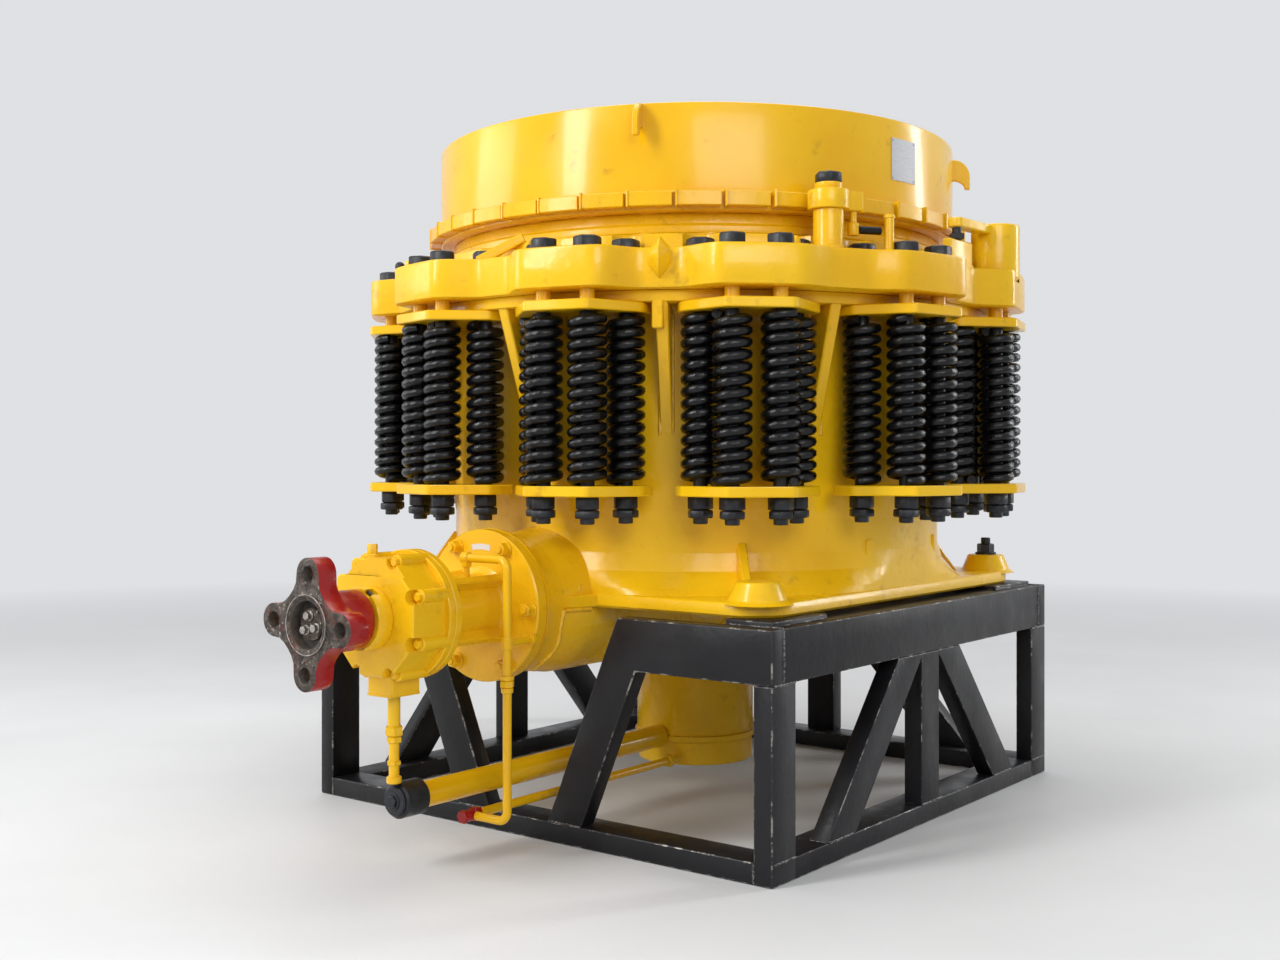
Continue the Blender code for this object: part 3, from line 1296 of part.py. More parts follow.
def thin_line():
    """Thin pipe along the return pipe, with its valve."""
    front, back = THIN_PIPE_Y - VALVE_HALF, THIN_PIPE_Y + VALVE_HALF
    valve = rod((THIN_PIPE_X, front, THIN_PIPE_Z), (THIN_PIPE_X, back, THIN_PIPE_Z), VALVE_RADIUS, sides=12)
    node("drain_valve", valve, "red")
    wall = HUB_RADIUS - HUB_CAP_INSET
    hub_side = SEAT - math.sqrt((wall + THIN_PIPE_RADIUS) ** 2 - THIN_PIPE_X**2)
    start, end = (THIN_PIPE_X, back + SEAT, THIN_PIPE_Z), (THIN_PIPE_X, hub_side, THIN_PIPE_Z)
    node("thin_pipe", rod(start, end, THIN_PIPE_RADIUS, sides=12), "yellow")


def supply_line():
    """Pipe that rises beside the housing, with its branch to the disc."""
    supply = pipe(
        [
            (SUPPLY_START_X, SUPPLY_Y, SUPPLY_TOP),
            (SUPPLY_X, SUPPLY_Y, SUPPLY_TOP),
            (SUPPLY_X, SUPPLY_Y, THIN_PIPE_Z),
            (THIN_PIPE_X + VALVE_RADIUS + SEAT, SUPPLY_Y, THIN_PIPE_Z),
        ],
        SUPPLY_RADIUS,
    )
    disc_face = NOZZLE_FACE - SEAT - DISC_THICK - SEAT
    tee_radius = SUPPLY_RADIUS - 0.002
    start, end = (SUPPLY_X, SUPPLY_Y - BITE, SUPPLY_TEE_Z), (SUPPLY_X, disc_face, SUPPLY_TEE_Z)
    branch = rod(start, end, tee_radius, sides=12)
    low, high = SUPPLY_UNION_Z - UNION_HALF, SUPPLY_UNION_Z + UNION_HALF
    union_nut = rod((SUPPLY_X, SUPPLY_Y, low), (SUPPLY_X, SUPPLY_Y, high), SUPPLY_RADIUS + BITE, sides=6)
    node("supply_pipe", supply, "yellow", add=[branch, union_nut])


def build():
    stand_bottom_rails()
    stand_posts()
    stand_side_top_rails()
    stand_back_top_rail()
    stand_front_legs()
    stand_braces()
    main_frame()
    frame_hub()
    hub_cap()
    adjustment_ring()
    for index, angle in enumerate(GROUP_ANGLES):
        spring_pack(index + 1, angle)
    bowl()
    bowl_liner()
    mantle()
    feed_plate()
    adjustment_cap()
    feed_hopper()
    locking_post()
    locking_pawl()
    stop_post()
    clamping_cylinder()
    countershaft_housing()
    end_housing()
    seal_collar()
    countershaft()
    drive_coupling()
    drain_line()
    thin_line()
    supply_line()


build()
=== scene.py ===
"""Looks of the spring cone crusher: finishes, coil springs, bolts, welds and rounded castings."""

import random
from math import atan2, cos, degrees, pi, radians, sin, sqrt, tan, tau

import bmesh
import bpy
from mathutils import Matrix, Vector, noise
from mathutils.geometry import tessellate_polygon


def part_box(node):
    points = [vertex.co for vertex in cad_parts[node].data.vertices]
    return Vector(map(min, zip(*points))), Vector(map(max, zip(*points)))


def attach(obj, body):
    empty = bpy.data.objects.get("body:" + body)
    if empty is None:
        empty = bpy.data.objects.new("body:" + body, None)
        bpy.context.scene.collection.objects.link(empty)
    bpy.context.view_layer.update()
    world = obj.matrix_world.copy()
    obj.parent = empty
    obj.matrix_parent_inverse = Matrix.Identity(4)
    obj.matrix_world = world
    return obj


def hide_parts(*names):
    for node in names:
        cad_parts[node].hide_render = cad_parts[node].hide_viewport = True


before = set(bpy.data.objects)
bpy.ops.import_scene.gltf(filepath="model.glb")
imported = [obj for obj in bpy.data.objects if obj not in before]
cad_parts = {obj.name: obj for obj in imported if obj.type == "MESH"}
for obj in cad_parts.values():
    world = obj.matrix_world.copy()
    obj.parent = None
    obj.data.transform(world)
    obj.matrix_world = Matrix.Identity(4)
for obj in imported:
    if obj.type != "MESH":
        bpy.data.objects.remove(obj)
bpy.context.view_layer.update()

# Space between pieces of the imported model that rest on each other
GAP = 0.0003

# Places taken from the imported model
BOWL_LOW, BOWL_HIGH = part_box("bowl")
AXIS = Vector(((BOWL_LOW.x + BOWL_HIGH.x) / 2, (BOWL_LOW.y + BOWL_HIGH.y) / 2, 0))
BOWL_TOP = BOWL_HIGH.z
CAP_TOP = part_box("adjustment_cap")[1].z
RING_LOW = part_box("adjustment_ring")[0].z
RING_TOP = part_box("locking_post")[0].z - GAP
COLLAR_TOP = RING_TOP + 0.045
FRAME_TOP = RING_LOW - GAP
FLANGE_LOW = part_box("stand_top_rail_right")[1].z + GAP
FLANGE_TOP = FLANGE_LOW + 0.035
SHAFT_Z = (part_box("drive_coupling")[0].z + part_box("drive_coupling")[1].z) / 2
SUMP_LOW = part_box("end_housing")[0].z - SHAFT_Z


def y_span(node):
    """Where a node begins and ends along Y, from the crushing axis."""
    low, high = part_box(node)
    return low.y - AXIS.y, high.y - AXIS.y


COUPLING_FACE, HUB_END = y_span("drive_coupling")
NECK_END, NOZZLE_FACE = y_span("countershaft_housing")
COLLAR_FACE, END_FACE = y_span("seal_collar")

# Spring packs: their plates, and their bolts as a radius and a distance aside
GROUP_STEP = 30
GROUP_ANGLES = [-165 + GROUP_STEP * step for step in range(12)]
OUTER_BOLT_RADIUS = 0.881
PACK_BOLTS = [(OUTER_BOLT_RADIUS, -0.058), (OUTER_BOLT_RADIUS, 0.058)]
PACK_BOLTS += [(0.790, -0.118), (0.790, 0.118)]
PLATE_LOW_TOP = 0.885
PLATE_LOW = PLATE_LOW_TOP - 0.025
PLATE_UP_TOP = 1.3247
PLATE_UP = PLATE_UP_TOP - 0.024
SPRING_TURNS = 14
SPRING_WIRE = 0.0124
SPRING_RADIUS = 0.049 - SPRING_WIRE

# Ring and frame
LOBE_RADIUS = 0.94
RING_BORE = 0.679
COLLAR_RADIUS = 0.784
COLLAR_BORE = 0.722
INNER_BOLT_RADIUS = 0.7988
INNER_BOLT_ANGLE = 8.495
SCALLOP_RADIUS = 0.043
FLANGE_HALF = 0.70
FRAME_BORE = 0.655
SHELL_RADIUS = 0.72
WAIST_RADIUS = 0.70
BOSS_PLACE = 0.63

# The cap on the bowl
CAP_RADIUS = 0.742
CAP_LOW = CAP_TOP - 0.265
CAP_INSIDE = CAP_RADIUS - 0.027
TEETH = 40
TEETH_LOW, TEETH_TOP = 1.564, 1.600
HOOK_DROP, HOOK_REACH = 0.086, 0.048
PLATE_ANGLE = -8

# Pieces on the ring, as an angle and a radius
POST = (-32, 0.84)
POST_TOP = 1.612
STOP = (-21.5, 0.868)
CYLINDER = (11.3, 0.881)
CYLINDER_PIN = (-2.5, 0.853)

# The nozzle's rim, the disc and the joint of the two housings, as far out as on the real machine
RIM_FACE = NOZZLE_FACE - 0.024
DISC_THICK = 0.034
DISC_FACE = RIM_FACE - DISC_THICK
JOINT = END_FACE + 0.12
JOINT_RIM = 0.020
NOZZLE_RADIUS = 0.172

# Welds of the stand: how far out its sides and its ends are
STAND_SIDE = 0.7585
STAND_END = 0.7685

# Backdrop, lamps and the camera of the photograph
BACKDROP = (0.74, 0.75, 0.77)
WORLD_LIGHT = 0.44
VIEW_TURN = 37.81
PHOTO_WIDE = 1280
FOCAL_PIXELS = 1436
HORIZON_PIXELS = -17

random.seed(7)


def on_axis(angle, radius, z=0.0):
    """A point round the crushing axis, which is the origin until a piece is shown."""
    turn = radians(angle)
    return Vector((radius * cos(turn), radius * sin(turn), z))


def plan(angle, radius):
    return tuple(on_axis(angle, radius).xy)


def at(x, y, z):
    return Matrix.Translation((x, y, z))


def turn_z(angle):
    return Matrix.Rotation(radians(angle), 4, "Z")


# Tips Y up, so that Z points along -Y
TIPPED = Matrix.Rotation(radians(90), 4, "X")


def turned_to(angle, radius=0.0, z=0.0):
    """Frame at an angle round the crushing axis: X outward, Y along the turn, Z up."""
    return turn_z(angle) @ at(radius, 0, z)


def web_frame(angle):
    """Frame of a radial web: X outward, Y up, Z across the web."""
    return turned_to(angle) @ TIPPED


def drive_frame(y):
    """Frame on the shaft's line, its Z pointing along -Y, out of the drive towards its coupling."""
    return at(0.0, y, SHAFT_Z) @ TIPPED


def arc(start, step, count, radius, centre=(0.0, 0.0)):
    """Points on a circle at even steps in degrees."""
    turns = [radians(start + step * index) for index in range(count)]
    return [(centre[0] + radius * cos(t), centre[1] + radius * sin(t)) for t in turns]


def placed(name, data):
    """A new object in the scene."""
    made = bpy.data.objects.new(name, data)
    bpy.context.scene.collection.objects.link(made)
    return made


class Nodes:
    """Short calls for the nodes of one material."""

    def __init__(self, name, **values):
        self.material = bpy.data.materials.new(name)
        self.material.use_nodes = True
        self.tree = self.material.node_tree
        self.shader = self.tree.nodes["Principled BSDF"]
        for socket, value in values.items():
            label = socket.replace("_", " ").title().replace("Ior", "IOR")
            self.shader.inputs[label].default_value = value
        self.place = self.add("ShaderNodeTexCoord").outputs["Object"]

    def add(self, kind, inputs=None, **settings):
        made = self.tree.nodes.new(kind)
        for key, value in settings.items():
            setattr(made, key, value)
        for key, value in (inputs or {}).items():
            if isinstance(value, bpy.types.NodeSocket):
                self.tree.links.new(value, made.inputs[key])
            else:
                made.inputs[key].default_value = value
        return made

    def noise(self, scale, detail=3.0, stretch=None, roughness=0.55):
        place = self.place
        if stretch:
            place = self.add("ShaderNodeMapping", {"Vector": place, "Scale": stretch}).outputs[0]
        values = {"Vector": place, "Scale": scale, "Detail": detail, "Roughness": roughness}
        return self.add("ShaderNodeTexNoise", values).outputs["Fac"]

    def ramp(self, value, low, high, out_low=0.0, out_high=1.0):
        values = {"Value": value, "From Min": low, "From Max": high}
        values |= {"To Min": out_low, "To Max": out_high}
        return self.add("ShaderNodeMapRange", values).outputs["Result"]

    def math(self, operation, first, second):
        return self.add("ShaderNodeMath", {0: first, 1: second}, operation=operation).outputs[0]

    def mix(self, factor, first, second):
        inputs = {"Factor": factor, 6: first, 7: second}
        for index in (6, 7):
            if not isinstance(inputs[index], bpy.types.NodeSocket):
                inputs[index] = (*inputs[index], 1)
        return self.add("ShaderNodeMix", inputs, data_type="RGBA").outputs[2]

    def bump(self, layers):
        """Bumps laid on each other: pairs of a height and its depth in metres."""
        normal = None
        for height, depth in layers:
            inputs = {"Height": height, "Distance": depth, "Strength": 1.0}
            if normal is not None:
                inputs["Normal"] = normal
            normal = self.add("ShaderNodeBump", inputs).outputs["Normal"]
        self.tree.links.new(normal, self.shader.inputs["Normal"])

    def colour(self, socket):
        self.tree.links.new(socket, self.shader.inputs["Base Color"])

    def rough(self, socket):
        self.tree.links.new(socket, self.shader.inputs["Roughness"])


def enamel(name, light, deep, grime, grain=1.0, rough=(0.2, 0.36), chips=0.0):
    """Brushed enamel over metal: patches, runs, orange peel and a few chips."""
    made = Nodes(name, coat_weight=0.15, coat_roughness=0.06, specular_ior_level=0.28)
    colour = made.mix(made.ramp(made.noise(1.9, 4.0), 0.38, 0.64), light, deep)
    runs = made.noise(9.0, 5.0, stretch=(1.0, 1.0, 0.13))
    colour = made.mix(made.ramp(runs, 0.62, 0.80, 0.0, 0.22), colour, deep)
    stains = made.math("MULTIPLY", made.noise(5.5, 6.0, roughness=0.7), made.noise(31.0, 3.0))
    colour = made.mix(made.ramp(stains, 0.34, 0.46, 0.0, 0.35), colour, grime)
    if chips:
        specks = made.ramp(made.noise(95.0, 4.0, roughness=0.75), 0.70, 0.72)
        zones = made.ramp(made.noise(3.1, 2.0), 0.5, 0.6, 0.0, chips)
        colour = made.mix(made.math("MULTIPLY", specks, zones), colour, grime)
    made.colour(colour)
    made.rough(made.ramp(made.noise(6.0, 4.0), 0.3, 0.7, *rough))
    layers = ((7.0, 3.0, 0.0030), (34.0, 4.0, 0.0011), (210.0, 2.0, 0.00022))
    made.bump([(made.noise(scale, detail), depth * grain) for scale, detail, depth in layers])
    return made.material


def finish(name, base, layers, rough, bumps, **values):
    """A base colour under tones, with roughness and bumps, each led by a pattern of noise.

    A pattern holds what Nodes.noise takes, and a span what Nodes.ramp takes after its value.
    """
    made = Nodes(name, **values)
    colour = base
    for pattern, span, tone in layers:
        colour = made.mix(made.ramp(made.noise(*pattern), *span), colour, tone)
    made.colour(colour)
    if rough:
        pattern, span = rough
        made.rough(made.ramp(made.noise(*pattern), *span))
    made.bump([(made.noise(*pattern), depth) for pattern, depth in bumps])
    return made.material


def worn_edge():
    """Stand corners where the black has rubbed through to pale metal in places."""
    made = Nodes("worn_edge", metallic=0.35)
    wear = made.ramp(made.noise(26.0, 5.0, roughness=0.7), 0.53, 0.62)
    made.colour(made.mix(wear, (0.016, 0.016, 0.018), (0.27, 0.25, 0.22)))
    made.rough(made.ramp(wear, 0.0, 1.0, 0.42, 0.3))
    made.bump([(wear, 0.0003)])
    return made.material


def worn_face():
    """Coupling face: pitted steel with grease, rust and bright scuffs."""
    made = Nodes("worn_face", metallic=0.4, specular_ior_level=0.4)
    pits = made.noise(62.0, 6.0, roughness=0.8)
    colour = made.mix(made.ramp(pits, 0.42, 0.6), (0.022, 0.015, 0.012), (0.10, 0.078, 0.062))
    scuffs = made.ramp(made.noise(130.0, 5.0), 0.58, 0.68)
    bright = made.math("MULTIPLY", scuffs, made.ramp(made.noise(17.0), 0.42, 0.6))
    colour = made.mix(bright, colour, (0.55, 0.51, 0.46))
    rust = made.ramp(made.noise(24.0, 5.0), 0.54, 0.66, 0.0, 0.7)
    made.colour(made.mix(rust, colour, (0.10, 0.028, 0.015)))
    made.rough(made.ramp(pits, 0.35, 0.65, 0.62, 0.34))
    made.bump([(pits, 0.0028), (made.noise(240.0, 3.0), 0.0009)])
    return made.material


# Yellow: its light, its deep and its grimy tone
YELLOW = ((0.86, 0.52, 0.008), (0.78, 0.42, 0.004), (0.23, 0.115, 0.012))
RED_TONES = ((0.42, 0.014, 0.012), (0.27, 0.008, 0.009), (0.06, 0.02, 0.015))
SHEET = enamel("yellow_sheet", *YELLOW, grain=0.28, rough=(0.17, 0.28))
CASTING = enamel("yellow_casting", *YELLOW, grain=1.15, chips=0.8)
RED = enamel("red_paint", *RED_TONES, grain=0.7, chips=0.9)
WORN = worn_edge()
FACE = worn_face()
RIPPLES = (120.0, 3.0)
WELD = finish(
    "yellow_weld", YELLOW[1], [(RIPPLES, (0.4, 0.62), YELLOW[0])], None, [(RIPPLES, 0.004)],
    roughness=0.32, coat_weight=0.3,
)
# Gloss black over hot-coiled bar, which breaks each highlight into specks
SPRING = finish(
    "spring_black", (0.003, 0.003, 0.0035), [((14.0,), (0.4, 0.7), (0.006, 0.006, 0.007))],
    ((40.0,), (0.3, 0.7, 0.10, 0.22)), [((95.0, 3.0, None, 0.7), 0.0014), ((330.0, 2.0), 0.0005)],
    specular_ior_level=0.32,
)
BOLT = finish(
    "bolt_black", (0.006, 0.007, 0.009), [((30.0,), (0.4, 0.65), (0.017, 0.019, 0.024))],
    ((55.0,), (0.3, 0.7, 0.3, 0.5)), [((160.0, 3.0), 0.0006)], specular_ior_level=0.35,
)
# Brushed satin black on rectangular tube, with dust
DUST = ((3.3, 6.0, None, 0.65), (0.5, 0.75, 0.0, 0.5), (0.022, 0.022, 0.024))
STAND = finish(
    "stand_black", (0.005, 0.005, 0.006), [((2.0,), (0.4, 0.6), (0.010, 0.010, 0.012)), DUST],
    ((8.0, 5.0), (0.3, 0.7, 0.30, 0.52)),
    [((60.0, 3.0), 0.0007), ((12.0, 3.0, (1.0, 1.0, 0.4)), 0.0016)], specular_ior_level=0.25,
)
FINE_RIPPLES = (150.0, 3.0)
STAND_WELD = finish(
    "stand_weld", (0.02, 0.02, 0.022), [(FINE_RIPPLES, (0.45, 0.6), (0.22, 0.21, 0.19))], None,
    [(FINE_RIPPLES, 0.003)], metallic=0.3, roughness=0.4,
)
SCUFFS = (70.0, 5.0, None, 0.7)
STEEL = finish(
    "bare_steel", (0.20, 0.18, 0.16), [(SCUFFS, (0.4, 0.65), (0.50, 0.47, 0.43))],
    (SCUFFS, (0.35, 0.65, 0.5, 0.28)), [(SCUFFS, 0.0008)], metallic=0.9,
)
# Unpainted manganese steel with casting skin and rust bloom
SKIN = (18.0, 6.0, None, 0.7)
BLOOM = ((7.0, 5.0), (0.55, 0.75, 0.0, 0.6), (0.16, 0.07, 0.03))
IRON = finish(
    "wear_iron", (0.06, 0.055, 0.05), [(SKIN, (0.35, 0.65), (0.15, 0.135, 0.12)), BLOOM],
    (SKIN, (0.3, 0.7, 0.7, 0.45)), [(SKIN, 0.003), ((90.0, 4.0), 0.0012)], metallic=0.6,
)
# The blank rating plate of brushed aluminium, and the blank label
BRUSHED = (40.0, 4.0, (1.0, 1.0, 14.0))
PLATE = finish(
    "plate_metal", (0.42, 0.44, 0.47), [(BRUSHED, (0.35, 0.65), (0.53, 0.55, 0.58))],
    (BRUSHED, (0.3, 0.7, 0.5, 0.62)), [(BRUSHED, 0.0001)], metallic=0.25, specular_ior_level=0.3,
)
SMUDGE = (60.0, 4.0)
LABEL = finish(
    "label_white", (0.62, 0.61, 0.58), [(SMUDGE, (0.5, 0.8), (0.48, 0.45, 0.38))], None,
    [(SMUDGE, 0.0002)], roughness=0.4,
)


def circle(radius, sides, centre=(0.0, 0.0), start=0.0):
    turns = [radians(start) + tau * step / sides for step in range(sides)]
    return [(centre[0] + radius * cos(t), centre[1] + radius * sin(t)) for t in turns]


def rectangle(left, right, low, high):
    return [(left, low), (right, low), (right, high), (left, high)]


def square(half, corner):
    """A square with its corners cut off."""
    near = half - corner
    outline = [(half, -near), (half, near), (near, half), (-near, half)]
    return outline + [(-x, -y) for x, y in outline]


def filleted(corners, radius, steps=4, closed=True):
    """The outline with each corner rounded by an arc, as large as its sides allow."""
    count = len(corners)
    points = []
    for index, corner in enumerate(corners):
        corner = Vector(corner)
        if not closed and index in (0, count - 1):
            points.append(tuple(corner))
            continue
        size = radius[index] if isinstance(radius, (list, tuple)) else radius
        before = Vector(corners[index - 1]) - corner
        after = Vector(corners[(index + 1) % count]) - corner
        half = before.angle(after, 0.0) / 2
        if size == 0 or half > radians(88) or half < radians(2):
            points.append(tuple(corner))
            continue
        cut = min(size / tan(half), before.length * 0.48, after.length * 0.48)
        size = cut * tan(half)
        middle = (before.normalized() + after.normalized()).normalized()
        centre = corner + middle * (size / sin(half))
        first = corner + before.normalized() * cut - centre
        last = corner + after.normalized() * cut - centre
        for step in range(steps + 1):
            points.append(tuple(centre + first.slerp(last, step / steps).normalized() * size))
    return points


def inset(outline, edge):
    """The outline moved inwards by an edge width."""
    points = [Vector(point) for point in outline]
    nexts = points[1:] + points[:1]
    area = sum(here.x * after.y - after.x * here.y for here, after in zip(points, nexts))
    inward = edge if area > 0 else -edge
    moved = []
    for index, point in enumerate(points):
        before = point - points[index - 1]
        after = nexts[index] - point
        first = Vector((-before.y, before.x)).normalized()
        second = Vector((-after.y, after.x)).normalized()
        normal = first + second
        normal /= max(normal.length_squared / 2, 0.35)
        moved.append((outline[index][0] + normal.x * inward, outline[index][1] + normal.y * inward))
    return moved


def resampled(outline, count):
    """The same outline with evenly spread points."""
    points = [Vector(point) for point in outline]
    nexts = points[1:] + points[:1]
    lengths = [(after - point).length for point, after in zip(points, nexts)]
    total = sum(lengths)
    made = []
    index, done = 0, 0.0
    for step in range(count):
        target = total * step / count
        while done + lengths[index] < target:
            done += lengths[index]
            index += 1
        share = (target - done) / lengths[index]
        made.append(tuple(points[index].lerp(nexts[index], share)))
    return made


class Shape:
    """A piece put together from closed shells, each with one of its materials."""

    def __init__(self, *materials):
        self.bm = bmesh.new()
        self.materials = materials

    def loft(self, loops, place=Matrix(), slot=0, capped=True):
        """Joins loops of equally many points, with ends or else closed on the first loop."""
        rings = [[self.bm.verts.new(place @ Vector(point)) for point in loop] for loop in loops]
        pairs = list(zip(rings, rings[1:]))
        if not capped:
            pairs.append((rings[-1], rings[0]))
        made = []
        for low, high in pairs:
            for index in range(len(low)):
                after = (index + 1) % len(low)
                made.append(self.bm.faces.new((low[index], low[after], high[after], high[index])))
        if capped:
            made.append(self.bm.faces.new(rings[0][::-1]))
            made.append(self.bm.faces.new(rings[-1]))
        for face in made:
            face.material_index = slot
        return self

    def stack(self, levels, place=Matrix(), slot=0, capped=True):
        """Joins outlines, each at its height."""
        loops = [[(x, y, z) for x, y in outline] for outline, z in levels]
        return self.loft(loops, place, slot, capped)

    def lathe(self, profile, place=Matrix(), sides=96, slot=0, capped=True):
        """A solid of revolution. Uncapped, the profile is a closed outline round a bore."""
        round_loop = circle(1.0, sides)
        loops = [[(radius * x, radius * y, z) for x, y in round_loop] for radius, z in profile]
        return self.loft(loops, place, slot, capped)

    def prism(self, outline, low, high, place=Matrix(), slot=0, edge=0.0):
        """A thickened outline. A small edge width chamfers both of its faces."""
        levels = ((outline, low), (outline, high))
        if edge:
            inner = inset(outline, edge)
            levels = ((inner, low), (outline, low + edge), (outline, high - edge), (inner, high))
        return self.stack(levels, place, slot)

    def web(self, outline, half, angle, slot=0):
        """A radial plate at an angle, drawn as radius and height."""
        return self.prism(outline, -half, half, web_frame(angle), slot, edge=0.003)

    def rod(self, start, end, radius, sides=16, slot=0, edge=0.0, place=Matrix()):
        start = Vector(start)
        along = Vector(end) - start
        long = along.length
        profile = [(radius, 0.0), (radius, long)]
        if edge:
            profile = [(radius - edge, 0.0), (radius, edge)]
            profile += [(radius, long - edge), (radius - edge, long)]
        turn = along.to_track_quat("Z", "Y").to_matrix().to_4x4()
        return self.lathe(profile, place @ at(*start) @ turn, sides, slot)

    def hexagon(self, place, across, high, slot=0, turn=0.0, chamfer=0.12, bottom=False):
        """A bolt head or nut: across its flats, with the corners turned off at the top."""
        cut = across * chamfer
        levels = [(0.0, 1.0), (high - cut * 0.6, 1.0), (high, 0.86)]
        if bottom:
            levels = [(0.0, 0.88), (cut * 0.5, 1.0)] + levels[1:]
        corners = circle(across / sqrt(3), 6, start=turn)
        outlines = [([(x * s, y * s) for x, y in corners], z) for z, s in levels]
        return self.stack(outlines, place, slot)

    def bolt(self, place, across, head, slot=0, washer=0.0, turn=0.0):
        """A bolt head, on a washer where it has one, along the Z of its place."""
        if washer:
            profile = [(washer - 0.001, 0.0), (washer, 0.001)]
            profile += [(washer, 0.003), (washer - 0.001, 0.004)]
            self.lathe(profile, place, 24, slot)
            place = place @ at(0, 0, 0.004)
        return self.hexagon(place, across, head, slot, turn)

    def tube(self, path, radius, sides=10, slot=0, place=Matrix()):
        """A round bar along a path of points. radius may differ from point to point."""
        path = [Vector(point) for point in path]
        last = len(path) - 1
        steps = [path[min(i + 1, last)] - path[max(i - 1, 0)] for i in range(last + 1)]
        tangents = [step.normalized() for step in steps]
        side = tangents[0].orthogonal().normalized()
        round_loop = circle(1.0, sides)
        loops = []
        for index, (point, along) in enumerate(zip(path, tangents)):
            side = (side - along * side.dot(along)).normalized()
            other = along.cross(side)
            size = radius[index] if isinstance(radius, list) else radius
            loops.append([point + side * (size * x) + other * (size * y) for x, y in round_loop])
        return self.loft(loops, place, slot)

    def bead(self, path, radius, slot=0, rough=0.25):
        """A weld bead: a bar with ripples along its path."""
        sizes = [radius * (1 + rough * noise.noise(Vector(point) * 160)) for point in path]
        return self.tube(path, sizes, 6, slot)

    def pierced(self, outline, holes, low, high, place, slots):
        """A thickened outline with round holes; slots are of its rim, low face and holes."""
        loops = [outline, *holes]
        triangles = tessellate_polygon([[Vector((x, y, 0)) for x, y in loop] for loop in loops])
        flat = [point for loop in loops for point in loop]
        levels = []
        for z in (low, high):
            levels.append([self.bm.verts.new(place @ Vector((x, y, z))) for x, y in flat])
        for verts, material in zip(levels, (slots[1], slots[0])):
            for triangle in triangles:
                self.bm.faces.new([verts[i] for i in triangle]).material_index = material
        start = 0
        for loop in loops:
            count = len(loop)
            for index in range(count):
                first, second = start + index, start + (index + 1) % count
                corners = [levels[0][first], levels[0][second], levels[1][second], levels[1][first]]
                self.bm.faces.new(corners).material_index = slots[2] if start else slots[0]
            start += count
        return self

    def as_mesh(self, name):
        bmesh.ops.recalc_face_normals(self.bm, faces=self.bm.faces)
        mesh = bpy.data.meshes.new(name)
        self.bm.to_mesh(mesh)
        self.bm.free()
        for material in self.materials:
            mesh.materials.append(material)
        return mesh

    def adopt(self, mesh):
        self.bm.from_mesh(mesh)
        bpy.data.meshes.remove(mesh)
        return self

    def cut(self, *others):
        """Takes closed shapes away from this one, which is a single closed shell so far."""
        shapes = (self, *others)
        base, *cutters = [placed("ingredient", shape.as_mesh("ingredient")) for shape in shapes]
        for cutter in cutters:
            change = base.modifiers.new("cut", "BOOLEAN")
            change.operation = "DIFFERENCE"
            change.solver = "EXACT"
            change.object = cutter
        result = evaluated_mesh(base)
        for used in (base, *cutters):
            mesh = used.data
            bpy.data.objects.remove(used)
            bpy.data.meshes.remove(mesh)
        self.bm = bmesh.new()
        return self.adopt(result)

    def take_node(self, node):
        """Adds the mesh of a CAD node, its flat faces merged."""
        copied = bmesh.new()
        copied.from_mesh(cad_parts[node].data)
        bmesh.ops.remove_doubles(copied, verts=copied.verts, dist=0.00005)
        bmesh.ops.dissolve_limit(
            copied,
            angle_limit=radians(0.6),
            verts=copied.verts,
            edges=copied.edges,
            use_dissolve_boundaries=False,
            delimit={"NORMAL"},
        )
        bmesh.ops.translate(copied, vec=-AXIS, verts=copied.verts)
        for face in copied.faces:
            face.material_index = 0
        made = bpy.data.meshes.new("taken")
        copied.to_mesh(made)
        copied.free()
        return self.adopt(made)

    def show(self, name, body, nodes=(), slot=None, bevel=0.0, segments=2, angle=32, edge_slot=-1):
        """Makes the piece's object, which rides on a body and may stand for CAD nodes."""
        mesh = self.as_mesh(name)
        mesh.transform(at(*AXIS))
        piece = placed(name, mesh)
        if bevel:
            change = piece.modifiers.new("edges", "BEVEL")
            change.width = bevel
            change.segments = segments
            change.limit_method = "ANGLE"
            change.angle_limit = radians(angle)
            change.material = edge_slot
            rounded = evaluated_mesh(piece)
            piece.modifiers.clear()
            piece.data = rounded
            bpy.data.meshes.remove(mesh)
            mesh = rounded
            mesh.name = name
        mesh.shade_smooth()
        mesh.set_sharp_from_angle(angle=radians(angle + 8))
        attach(piece, body)
        if nodes:
            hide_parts(*nodes)
        return piece

    def yellow(self, name, node, angle=30, **edges):
        """The usual piece: yellow, on the frame, in the place of one CAD node."""
        return self.show(name, "frame", [node], "yellow_paint", angle=angle, **edges)


def evaluated_mesh(piece):
    """The mesh with its modifiers carried out."""
    evaluated = piece.evaluated_get(bpy.context.evaluated_depsgraph_get())
    return bpy.data.meshes.new_from_object(evaluated)


def finish_node(name, material):
    """A CAD node that is shown as it is, with a finer material."""
    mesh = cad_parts[name].data
    mesh.materials.clear()
    mesh.materials.append(material)
    mesh.shade_smooth()
    mesh.set_sharp_from_angle(angle=radians(35))


